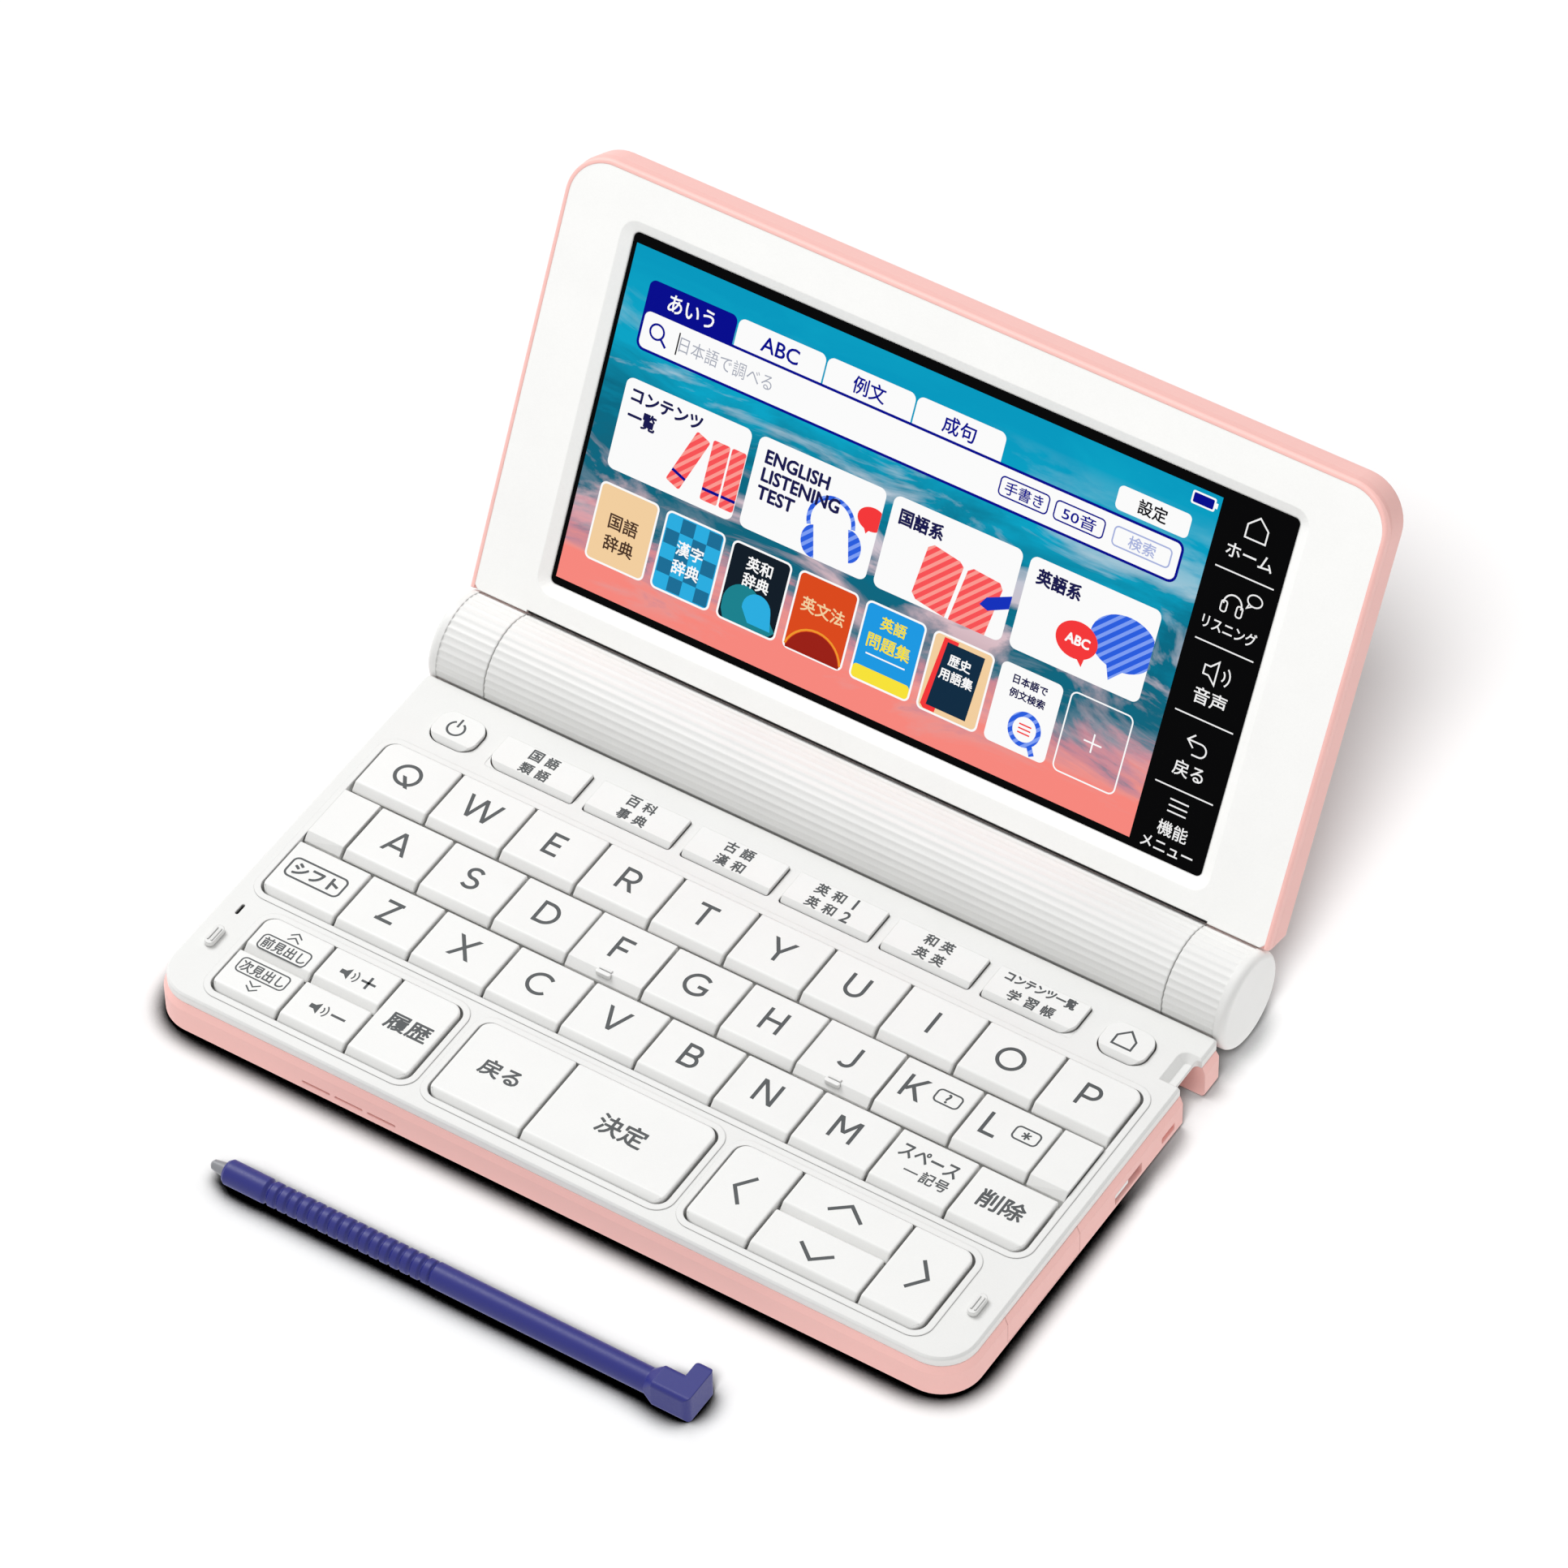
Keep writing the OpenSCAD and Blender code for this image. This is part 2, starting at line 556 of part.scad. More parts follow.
module display_window() color([0.05, 0.06, 0.08]) in_lid()
  round_box(win_u - window_width / 2 - 1.5, win_u + window_width / 2 + 1.5,
    win_v - window_height / 2 - 1.5, win_v + window_height / 2 + 1.5, 1.2, glass_top - 0.8, glass_top);

module lcd_module() color([0.2, 0.2, 0.22]) in_lid() {
  box(win_u - window_width / 2 + 0.6, win_u + window_width / 2 - 13.2, win_v - window_height / 2 + 0.8,
    win_v + window_height / 2 - 0.8, lid_back + 1.3, glass_top - 0.8);
  // driver board and the touch strip's sensor
  box(win_u + window_width / 2 - 13.2, win_u + window_width / 2 - 0.6, win_v - window_height / 2 + 0.8,
    win_v + window_height / 2 - 0.8, glass_top - 1.8, glass_top - 0.8);
  box(-20, 20, win_v - window_height / 2 - 2.9, win_v - window_height / 2 + 1,
    lid_back + 1.3, lid_back + 2.1);
}

// end knuckle: fluted, then a plain rim with a rounded edge
module knuckle() {
  along_x(core_half + 0.1, half - 1.9) fluted_circle();
  translate([half - 1.9 - eps, 0, 0]) rotate([0, 90, 0]) rotate_extrude($fn = 64)
    polygon(concat([[0, 0], [barrel_r + 0.02, 0]],
      [for (i = [0:5]) [barrel_r - 1.08 + 1.1 * cos(18 * i), 0.8 + eps + 1.1 * sin(18 * i)]],
      [[0, 1.9 + eps]]));
}

module hinge_ends() color(WHITE) {
  place() both_ends() difference() {
    knuckle();
    along_x(core_half, half - 4) circle(r = 2);
  }
  // arms into the lid
  in_lid() for (s = [0, 1]) mirror([s, 0, 0])
    box(core_half + 1.6, half - 1.8, 5, lid_v0 + 8.5, lid_back + 1.55, lid_front - 1.05);
}

module hinge_pins() color(STEEL) place()
  both_ends() along_x(pin_x0, half - 4) circle(r = 2);

// ---------- stylus ----------

module pen_axis() place() translate([0, pen_y, pen_z]) children();

module stylus_barrel() color(INDIGO) pen_axis() {
  r = stylus_diameter / 2;
  grip0 = pen_x0 + 10.9;
  grip = 30.2;
  rib = grip / rib_count;
  neck = pen_x1 - 8.2;
  rotate([0, 90, 0]) rotate_extrude($fn = 36)
    polygon(concat([[0, pen_x0 + 2.8], [r - 0.35, pen_x0 + 2.8], [r, pen_x0 + 3.3], [r, grip0 - 0.5],
      [r - 0.42, grip0]],
      [for (k = [0:rib_count - 1], p = [[0.14, 0.42], [0.3, 0.06], [0.84, 0.06], [1, 0.34]])
        [r - p[1], grip0 + rib * (k + p[0])]],
      [[r, grip0 + grip + 0.35], [r, neck], [0, neck]]));
  // shoulder from the round barrel to the square head
  hull() {
    translate([neck - 0.1, 0, 0]) rotate([0, 90, 0]) cylinder(h = 0.1, r = r, $fn = 24);
    along_x(neck + 1.6, neck + 1.7) head_profile(2.1);
  }
  along_x(neck + 1.6, pen_x1 - 1.2) head_profile(2.1);
  // arm of the head
  intersection() {
    translate([0, 0, -5]) linear_extrude(10)
      round_rect(pen_x1 - 3, pen_x1, -head_front, arm_y, 1.1);
    along_x(neck, pen_x1) head_profile(arm_y);
  }
}

// (y, z) outline of the head up to y1, with its edges rounded
module head_profile(y1) round_rect(-head_front, y1, -head_low, head_high, 0.8);

module stylus_tip() color([0.56, 0.56, 0.58]) pen_axis() rotate([0, 90, 0]) {
  translate([0, 0, pen_x0 + 0.35]) cylinder(h = 2.45, r1 = 0.82, r2 = 1.25, $fn = 24);
  translate([0, 0, pen_x0]) cylinder(h = 0.35, r1 = 0.45, r2 = 0.82, $fn = 24);
}

// ---------- keys ----------

// a cap: flat top with a bevelled front edge
module cap(x0, x1, y0, y1, z0 = cap_bottom) along_x(x0, x1)
  polygon([[y0, z0], [y1, z0], [y1, key_top], [y0 + bevel_run, key_top], [y0, key_top - bevel_drop]]);

// rounds one corner of a cap; sx and sy say which
module corner(x, y, sx, sy, r = 2) difference() {
  translate([x - sx * (r / 2 - 0.5), y - sy * (r / 2 - 0.5), key_top])
    cube([r + 1, r + 1, 9], center = true);
  translate([x - sx * r, y - sy * r, 0]) cylinder(h = 30, r = r, $fn = 32);
}

// the snap stem: a bar with two barbs that sit under the well's floor
module stem(x, y) along_y(y - 1.2, y + 1.2)
  polygon([[x - 2.45, cap_bottom + eps], [x - 2.45, plate_bottom - 0.1], [x - 2.95, plate_bottom - 0.1],
    [x - 2, stem_end], [x + 2, stem_end], [x + 2.95, plate_bottom - 0.1], [x + 2.45, plate_bottom - 0.1],
    [x + 2.45, cap_bottom + eps]]);

// soft: four flags for front left, front right, rear left and rear right
module key(x0, x1, y0, y1, soft = [0, 0, 0, 0]) color(KEY) place() {
  g = key_gap / 2;
  difference() {
    cap(x0 + g, x1 - g, y0, y1);
    if (soft[0] == 1) corner(x0 + g, y0, -1, -1);
    if (soft[1] == 1) corner(x1 - g, y0, 1, -1);
    if (soft[2] == 1) corner(x0 + g, y1, -1, 1);
    if (soft[3] == 1) corner(x1 - g, y1, 1, 1);
  }
  stem((x0 + x1) / 2, (y0 + y1) / 2);
}

module row_key(n, c, soft = [0, 0, 0, 0])
  key(col_x(n, c), col_x(n, c + 1), row_y0(n), row_y1(n), soft);

// caps with a raised bar on the bevel, for finding the home row
module home_bar(n, c) color(KEY) place()
  translate([col_x(n, c) + pitch / 2, row_y0(n) + 1.6, key_top - 0.05])
    rotate([0, 90, 0]) cylinder(h = 2.2, r = 0.3, center = true, $fn = 12);

module key_q() row_key(1, 0, [0, 0, 1, 0]);
module key_w() row_key(1, 1);
module key_e() row_key(1, 2);
module key_r() row_key(1, 3);
module key_t() row_key(1, 4);
module key_y() row_key(1, 5);
module key_u() row_key(1, 6);
module key_i() row_key(1, 7);
module key_o() row_key(1, 8);
module key_p() row_key(1, 9, [0, 0, 0, 1]);
module key_a() row_key(2, 0);
module key_s() row_key(2, 1);
module key_d() row_key(2, 2);
module key_f() {
  row_key(2, 3);
  home_bar(2, 3);
}
module key_g() row_key(2, 4);
module key_h() row_key(2, 5);
module key_j() {
  row_key(2, 6);
  home_bar(2, 6);
}
module key_k() row_key(2, 7);
module key_l() row_key(2, 8);
module key_shift() row_key(3, 0, [1, 0, 0, 0]);
module key_z() row_key(3, 1);
module key_x() row_key(3, 2);
module key_c() row_key(3, 3);
module key_v() row_key(3, 4);
module key_b() row_key(3, 5);
module key_n() row_key(3, 6);
module key_m() row_key(3, 7);
module key_space() row_key(3, 8);
module key_delete() row_key(3, 9, [0, 1, 0, 0]);

module key_prev() key(GROUP_A[0], GROUP_A[1], group_split + 0.25, group_rear, [0, 0, 1, 0]);
module key_next() key(GROUP_A[0], GROUP_A[1], group_front, group_split - 0.25, [1, 0, 0, 0]);
module key_volume_up() key(GROUP_A[1], GROUP_A[2], group_split + 0.25, group_rear);
module key_volume_down() key(GROUP_A[1], GROUP_A[2], group_front, group_split - 0.25);
module key_history() key(GROUP_A[2], GROUP_A[3], group_front, group_rear, [0, 1, 0, 1]);
module key_back() key(GROUP_B[0], GROUP_B[1], group_front, group_rear, [1, 0, 1, 0]);
module key_enter() key(GROUP_B[1], GROUP_B[2], group_front, group_rear, [0, 1, 0, 1]);
module key_left() key(GROUP_C[0], GROUP_C[1], group_front, group_rear, [1, 0, 1, 0]);
module key_up() key(GROUP_C[1], GROUP_C[2], group_split + 0.25, group_rear);
module key_down() key(GROUP_C[1], GROUP_C[2], group_front, group_split - 0.25);
module key_right() key(GROUP_C[2], GROUP_C[3], group_front, group_rear, [0, 1, 0, 1]);

// a cap of the row behind the letters; its foot reaches forward, clear of the silo
module foot_cap(x0, x1, r_left = 0.4, r_right = 0.4) {
  intersection() {
    along_x(x0, x1) polygon([[short_front, short_bottom], [short_rear, short_bottom],
      [short_rear, key_top], [short_front + 0.9, key_top], [short_front, key_top - 0.9]]);
    translate([0, 0, 5]) linear_extrude(9) difference() {
      translate([x0, short_front]) square([x1 - x0, short_rear - short_front]);
      nick(x0, short_front, -1, r_left);
      nick(x1, short_front, 1, r_right);
    }
  }
  box(x0 + 0.6 + r_left / 2, x1 - 0.6 - r_right / 2, short_front + 0.1, short_front + 0.7,
    6, short_bottom + eps);
}

// takes the plan corner at (x, y) off to radius r
module nick(x, y, sx, r) difference() {
  translate([x - sx * (r / 2 - 0.5), y + r / 2 - 0.5]) square(r + 1, center = true);
  translate([x - sx * r, y + r]) circle(r = r, $fn = 32);
}

module foot_bar(x0, x1) box(x0, x1, case_depth - 14.35, short_front + 0.7, 6, deck_top - 1.6);
module foot_pin(x) translate([x, foot_y, stem_end]) cylinder(h = 6 - stem_end + eps, r = 0.9, $fn = 12);

module shortcut_keys() color(KEY) place() {
  for (i = [0:5]) {
    x0 = short_x0 + i * short_pitch;
    foot_cap(x0, x0 + short_width, i == 0 ? 2.4 : 0.4, i == 5 ? 2.4 : 0.4);
    foot_pin(x0 + short_width / 2);
  }
  foot_bar(short_x0 + 2, short_x0 + 5 * short_pitch + short_width - 2);
}

module small_key(x) color(KEY) place() {
  difference() {
    foot_cap(x - small_half, x + small_half, 2.4, 2.4);
    corner(x - small_half, short_rear, -1, 1, 2.4);
    corner(x + small_half, short_rear, 1, 1, 2.4);
  }
  foot_bar(x - small_half + 0.75, x + small_half - 0.75);
  foot_pin(x);
}

module key_power() small_key(-small_x);
module key_home() small_key(small_x);

lower_case();
key_deck();
main_board();
key_rubber();
battery_barrel();
batteries();
battery_cover();
card_cover();
rubber_feet();
lid_cover();
lid_bezel();
display_window();
lcd_module();
hinge_ends();
hinge_pins();
stylus_barrel();
stylus_tip();
shortcut_keys();
key_power();
key_home();
key_q();
key_w();
key_e();
key_r();
key_t();
key_y();
key_u();
key_i();
key_o();
key_p();
key_a();
key_s();
key_d();
key_f();
key_g();
key_h();
key_j();
key_k();
key_l();
key_shift();
key_z();
key_x();
key_c();
key_v();
key_b();
key_n();
key_m();
key_space();
key_delete();
key_prev();
key_next();
key_volume_up();
key_volume_down();
key_history();
key_back();
key_enter();
key_left();
key_up();
key_down();
key_right();
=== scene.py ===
"""Electronic dictionary, the looks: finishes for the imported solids, the legends on the keys, the
picture on the display, small screws and marks, and the table, lamps and camera that show it.

Lengths in the shapes below are millimetres on one of two planes: the keyboard, measured from
the front middle of the case, and the lid, measured from the hinge axis up the lid."""

import json
import math

import bmesh
import bpy
from bpy.props import FloatProperty, FloatVectorProperty, PointerProperty
from mathutils import Matrix, Vector

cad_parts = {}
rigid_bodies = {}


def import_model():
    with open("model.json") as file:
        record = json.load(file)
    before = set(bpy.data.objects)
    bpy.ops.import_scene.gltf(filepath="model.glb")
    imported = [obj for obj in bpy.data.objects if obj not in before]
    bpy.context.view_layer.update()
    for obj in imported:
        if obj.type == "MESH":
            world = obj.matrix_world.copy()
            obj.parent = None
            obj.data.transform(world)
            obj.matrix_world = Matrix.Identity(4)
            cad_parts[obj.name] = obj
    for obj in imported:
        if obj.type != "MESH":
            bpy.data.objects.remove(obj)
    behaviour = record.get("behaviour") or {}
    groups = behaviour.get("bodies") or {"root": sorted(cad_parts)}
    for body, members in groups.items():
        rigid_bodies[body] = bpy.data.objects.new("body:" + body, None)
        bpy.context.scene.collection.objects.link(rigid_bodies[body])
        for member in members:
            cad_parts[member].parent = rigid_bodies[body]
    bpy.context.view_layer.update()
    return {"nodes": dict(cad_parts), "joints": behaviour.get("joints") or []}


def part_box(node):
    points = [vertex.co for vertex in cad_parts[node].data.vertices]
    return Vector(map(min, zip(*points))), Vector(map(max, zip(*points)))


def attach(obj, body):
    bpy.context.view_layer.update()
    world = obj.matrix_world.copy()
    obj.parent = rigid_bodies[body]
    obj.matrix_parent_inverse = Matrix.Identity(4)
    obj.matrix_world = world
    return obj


bl_info = {
    "name": "Electronic dictionary",
    "version": (1, 0, 0),
    "blender": (4, 5, 0),
    "location": "3D View > Sidebar > Dictionary",
    "description": "Finishes, key legends and display picture of a clamshell dictionary",
    "category": "Object",
}

for thing in list(bpy.data.objects):
    bpy.data.objects.remove(thing)

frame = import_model()
NODES = frame["nodes"]

MM = 0.001
CASE_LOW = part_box("lower_case")[0]
HINGE = next(j for j in frame["joints"] if j["name"] == "lid_hinge")
LEAN = math.radians(-HINGE["range_deg"][0] - 90)
LID_UP = Vector((0, math.sin(LEAN), math.cos(LEAN)))
LID_OUT = Vector((0, -math.cos(LEAN), math.sin(LEAN)))
KEYBOARD = Matrix.Translation((0, CASE_LOW.y, CASE_LOW.z))
LID = (Matrix.Translation(HINGE["pos_m"])
       @ Matrix(((1, 0, 0), LID_UP, LID_OUT)).transposed().to_4x4())

KEY_TOP = 8.8
GLASS_TOP = -2.105
# where the lit picture and signs lie, just over the glass
LIT_TOP = GLASS_TOP + 0.01
# the height of a printed film over what it lies on
FILM = 0.004
# the specular level of glass with a coating against reflections
COATED = 0.03
LETTER_PITCH, ROW_PITCH, ROW_REAR, FIELD_HALF = 13.98, 12.655, 61.46, 69.9


def linear(code, alpha=1.0):
    """A colour as Blender's linear values, from its sRGB hex code."""
    out = []
    for k in (1, 3, 5):
        c = int(code[k : k + 2], 16) / 255
        out.append(c / 12.92 if c <= 0.04045 else ((c + 0.055) / 1.055) ** 2.4)
    return (*out, alpha)


def hue(code, name, description):
    """A colour setting with its default."""
    return FloatVectorProperty(
        name=name, description=description, subtype="COLOR", size=4, min=0, max=1,
        default=linear(code))


def amount(name, description, default, low, high):
    """A size or strength setting with its default and limits."""
    return FloatProperty(name=name, description=description, default=default, min=low, max=high)


# ---------- settings ----------


class CaseFinish(bpy.types.PropertyGroup):
    """Colours and textures of the moulded parts"""

    pink: hue("#F5BFB8", "Case", "Colour of the outer case and the lid's back")
    white: hue("#F0F0EE", "Deck", "Colour of the key deck")
    frame: hue("#F6F6F4", "Frame", "Colour of the display frame")
    barrel: hue("#F3F3F1", "Barrel", "Colour of the fluted battery barrel")
    grain: amount(
        "Grain", "Size of the eroded mould texture, in millimetres",
        0.32, 0.1, 1)
    edge: amount(
        "Edge radius", "How round the moulded edges look, in millimetres",
        0.3, 0, 1)


class KeyFinish(bpy.types.PropertyGroup):
    """Colours of caps and legends"""

    cap: hue("#F6F6F4", "Cap", "Colour of the key caps")
    ink: hue("#45494B", "Legend", "Colour of the printed legends")
    letter: amount(
        "Letter height", "Height of a capital on the letter keys, in millimetres",
        4.6, 2, 6)
    soft: amount(
        "Cap edge", "Radius of the cap edges, in millimetres",
        0.28, 0.05, 0.5)


class PenFinish(bpy.types.PropertyGroup):
    """Colours of the stylus"""

    barrel: hue("#141A7A", "Stylus", "Colour of the stylus barrel")
    tip: hue("#8C8D92", "Tip", "Colour of the stylus tip")


class DisplayPicture(bpy.types.PropertyGroup):
    """The picture on the display"""

    glow: amount(
        "Brightness", "How bright the backlit picture is",
        0.97, 0, 2)
    sky_top: hue("#009BC2", "Sky top", "Upper colour of the sky")
    sky_middle: hue("#036B86", "Sky middle", "Colour of the sky at half height")
    sky_low: hue("#FB8A80", "Sky bottom", "Colour of the sky at the lower edge")
    navy: hue("#00068F", "Signs", "Colour of the tabs, frames and words")


class StageSettings(bpy.types.PropertyGroup):
    """Camera and lamps"""

    camera_at: FloatVectorProperty(
        name="Camera", description="Where the camera stands", subtype="TRANSLATION",
        unit="LENGTH", default=(0.47877, -0.70441, 0.97340))
    camera_turn: FloatVectorProperty(
        name="Turn", description="How the camera is turned", subtype="EULER", unit="ROTATION",
        default=(math.radians(42.5439), math.radians(0.9228), math.radians(32.6454)))
    lens: amount(
        "Lens", "Focal length in millimetres on a 36 mm sensor",
        190.455, 20, 400)
    sky: amount(
        "Sky light", "Strength of the even light from all round",
        0.6, 0, 3)
    lamp: amount(
        "Lamp", "Strength of the soft lamp over the left shoulder, in watts",
        24.0, 0, 100)
    fill: amount(
        "Front light", "Strength of the lamp in front, for display frame and case, in watts",
        5.4, 0, 100)
    table: amount(
        "Table light", "Strength of the wide light that only falls on the table",
        4.1, 0, 20)


# ---------- nodes and materials ----------


def add(tree, kind, inputs=None, **settings):
    """Adds a shader node of that kind, sets its settings, and sets or links its inputs. A node
    among the inputs stands for its first output."""
    node = tree.nodes.new("ShaderNode" + kind)
    for name, value in settings.items():
        setattr(node, name, value)
    for name, value in (inputs or {}).items():
        if isinstance(value, bpy.types.Node):
            value = value.outputs[0]
        if isinstance(value, bpy.types.NodeSocket):
            tree.links.new(value, node.inputs[name])
        else:
            node.inputs[name].default_value = value
    return node


def start_material(name):
    """An empty node material: the material, its tree and the object's coordinates."""
    material = bpy.data.materials.new(name)
    material.use_nodes = True
    tree = material.node_tree
    tree.nodes.clear()
    return material, tree, add(tree, "TexCoord").outputs["Object"]


def moulded(name, colour, grain, dent, rough, edge, ior=1.53, crease=0.0):
    """A moulded plastic: an eroded texture of that grain, a faint cloudiness of its colour, and
    edges that catch the light over a radius. Gaps up to the crease in width are darkened in
    colour as painted shade.
    Grain, dent, edge and crease are in millimetres."""
    material, tree, where = start_material(name)
    round_edge = add(tree, "Bevel", {"Radius": edge * MM}, samples=6)
    pits = add(tree, "TexNoise",
               {"Vector": where, "Scale": 1 / (grain * MM), "Detail": 2.0, "Roughness": 0.6})
    bump = add(tree, "Bump",
               {"Height": pits, "Normal": round_edge,
                "Strength": 1.0, "Distance": dent * MM})
    cloud = add(tree, "TexNoise", {"Vector": where, "Scale": 1 / (9 * MM), "Detail": 3.0})
    speck = add(tree, "Mix", {0: 0.5, 2: cloud, 3: pits}, data_type="FLOAT")
    shade = add(tree, "MapRange",
                {"Value": speck, "From Min": 0.3, "From Max": 0.7,
                 "To Min": 0.975, "To Max": 1.015})
    value = shade
    if crease:
        # painted shade: ambient occlusion darkens the colour in gaps up to the crease in width
        gap = add(tree, "AmbientOcclusion", {"Distance": crease * MM}, samples=6)
        painted_gap_shade = add(tree, "MapRange",
                   {"Value": gap.outputs["AO"], "From Min": 0.3, "From Max": 0.75, "To Min": 0.35})
        value = add(tree, "Math", {0: value, 1: painted_gap_shade}, operation="MULTIPLY")
    tint = add(tree, "HueSaturation", {"Color": colour, "Value": value})
    gloss = add(tree, "MapRange",
                {"Value": pits, "From Min": 0.3, "From Max": 0.7,
                 "To Min": rough - 0.05, "To Max": rough + 0.05})
    body = add(tree, "BsdfPrincipled",
               {"Base Color": tint, "Roughness": gloss, "Normal": bump, "IOR": ior})
    add(tree, "OutputMaterial", {0: body})
    return material


def printed(name, colour, rough=0.5):
    """Ink on plastic, pad printed: a thin film with a slightly broken surface."""
    material, tree, where = start_material(name)
    film = add(tree, "TexNoise", {"Vector": where, "Scale": 1 / (0.5 * MM), "Detail": 2.0})
    shade = add(tree, "MapRange", {"Value": film, "To Min": 0.94, "To Max": 1.06})
    tint = add(tree, "HueSaturation", {"Color": colour, "Value": shade})
    body = add(tree, "BsdfPrincipled", {"Base Color": tint, "Roughness": rough})
    add(tree, "OutputMaterial", {0: body})
    return material


def dress(node, material):
    """Gives a CAD node one material in all its slots."""
    for slot in NODES[node].material_slots:
        slot.material = material


# ---------- flat shapes ----------


def type_shapes(text):
    """The outlines of a line of the built-in type as points and faces, one em high."""
    curve = bpy.data.curves.new("type", "FONT")
    curve.body = text
    curve.resolution_u = 3
    line = bpy.data.objects.new("type", curve)
    bpy.context.scene.collection.objects.link(line)
    mesh = bpy.data.meshes.new_from_object(
        line.evaluated_get(bpy.context.evaluated_depsgraph_get()))
    points = [tuple(v.co[:2]) for v in mesh.vertices]
    faces = [tuple(p.vertices) for p in mesh.polygons]
    bpy.data.objects.remove(line)
    bpy.data.curves.remove(curve)
    bpy.data.meshes.remove(mesh)
    return points, faces


def arc(x, y, r, a0, a1, steps=20, tall=1.0):
    """Points on a circle from one angle to another, in degrees; tall stretches it upwards."""
    turns = [math.radians(a0 + (a1 - a0) * k / steps) for k in range(steps + 1)]
    return [(x + r * math.cos(t), y + r * tall * math.sin(t)) for t in turns]


def turned(points, x, y, turn):
    """Points turned by an angle in degrees and moved to x, y."""
    c, s = math.cos(math.radians(turn)), math.sin(math.radians(turn))
    return [(x + c * a - s * b, y + s * a + c * b) for a, b in points]


def block(x0, x1, y0, y1):
    """The outline of a rectangle."""
    return [(x0, y0), (x1, y0), (x1, y1), (x0, y1)]


def tablet(x0, x1, y0, y1, r, steps=6):
    """The outline of a rectangle with round corners."""
    return (arc(x1 - r, y0 + r, r, -90, 0, steps) + arc(x1 - r, y1 - r, r, 0, 90, steps)
            + arc(x0 + r, y1 - r, r, 90, 180, steps) + arc(x0 + r, y0 + r, r, 180, 270, steps))


class Print:
    """Flat shapes on one plane, in millimetres, gathered into one mesh. Each shape has a layer,
    and an ink where there are several; layers lie a few micrometres over each other."""

    LAYER = 0.008

    def __init__(self):
        self.points, self.faces, self.inks = [], [], []

    def mesh(self, points, faces, ink, layer):
        start = len(self.points)
        self.points += [(x, y, layer * self.LAYER) for x, y in points]
        self.faces += [[start + k for k in face] for face in faces]
        self.inks += [ink] * len(faces)

    def fill(self, outline, ink=None, layer=1):
        self.mesh(outline, [range(len(outline))], ink, layer)

    def line(self, path, width, ink=None, layer=1, closed=False):
        """A line of one width along a path, with mitred corners."""
        path = [p for k, p in enumerate(path) if not k or math.dist(p, path[k - 1]) > 1e-4]
        n = len(path)
        sides = []
        for k, p in enumerate(path):
            p = Vector(p)
            before = Vector(path[k - 1]) if closed or k else None
            after = Vector(path[(k + 1) % n]) if closed or k < n - 1 else None
            a = (p - before).normalized() if before is not None else None
            b = (after - p).normalized() if after is not None else None
            a, b = a or b, b or a
            across = Vector((-(a.y + b.y), a.x + b.x))
            if across.length < 1e-6:
                across = Vector((-a.y, a.x))
            across.normalize()
            stretch = 1 / max(0.35, across.dot(Vector((-a.y, a.x))))
            sides.append((p + across * stretch * width / 2, p - across * stretch * width / 2))
        points = [tuple(q) for pair in sides for q in pair]
        count = n if closed else n - 1
        faces = [(2 * k, 2 * k + 1, (2 * k + 3) % (2 * n), (2 * k + 2) % (2 * n))
                 for k in range(count)]
        self.mesh(points, faces, ink, layer)

    def words(self, text, x, y, height, ink=None, width=None, layer=1, bold=0.0):
        """A line of type whose own box is centred at x, y, at that height. Bold type is printed
        eight times on a ring of that radius, which thickens every stroke alike."""
        points, faces = type_shapes(text)
        xs, ys = [p[0] for p in points], [p[1] for p in points]
        up = height / (max(ys) - min(ys))
        side = width / (max(xs) - min(xs)) if width else up
        cx, cy = (min(xs) + max(xs)) / 2, (min(ys) + max(ys)) / 2
        for k, (dx, dy) in enumerate(arc(0, 0, bold, 0, 315, 7) if bold else ((0, 0),)):
            self.mesh([(x + (a - cx) * side + dx, y + (b - cy) * up + dy) for a, b in points],
                      faces, ink, layer + 0.1 * k)

    def spaced(self, text, x, y, height, pitch, bold):
        """Characters set that far apart, middle at x."""
        for k, character in enumerate(text):
            self.words(character, x + pitch * (k - (len(text) - 1) / 2), y, height, bold=bold)

    def piece(self, name, plane, height, body, slot, inks, deep=0.0):
        """Makes the object on a plane, that high over it, riding on a body. The inks are one
        material, or materials by name. A piece that is deep goes down from there."""
        data = bpy.data.meshes.new(name)
        data.from_pydata([(x * MM, y * MM, z * MM) for x, y, z in self.points], [], self.faces)
        used = sorted(set(self.inks)) if isinstance(inks, dict) else [None]
        for ink in used:
            data.materials.append(inks[ink] if ink else inks)
        data.polygons.foreach_set("material_index", [used.index(i) for i in self.inks])
        made = bpy.data.objects.new(name, data)
        bpy.context.scene.collection.objects.link(made)
        made.matrix_world = plane @ Matrix.Translation((0, 0, height * MM))
        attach(made, body)
        if deep:
            made.modifiers.new("depth", "SOLIDIFY").thickness = deep * MM
        return made


def slab(name, outline, plane, top, body, slot, material, deep):
    """A flat-topped piece of one material."""
    art = Print()
    art.fill(outline, layer=0)
    return art.piece(name, plane, top, body, slot, material, deep)


# ---------- the moulded parts ----------


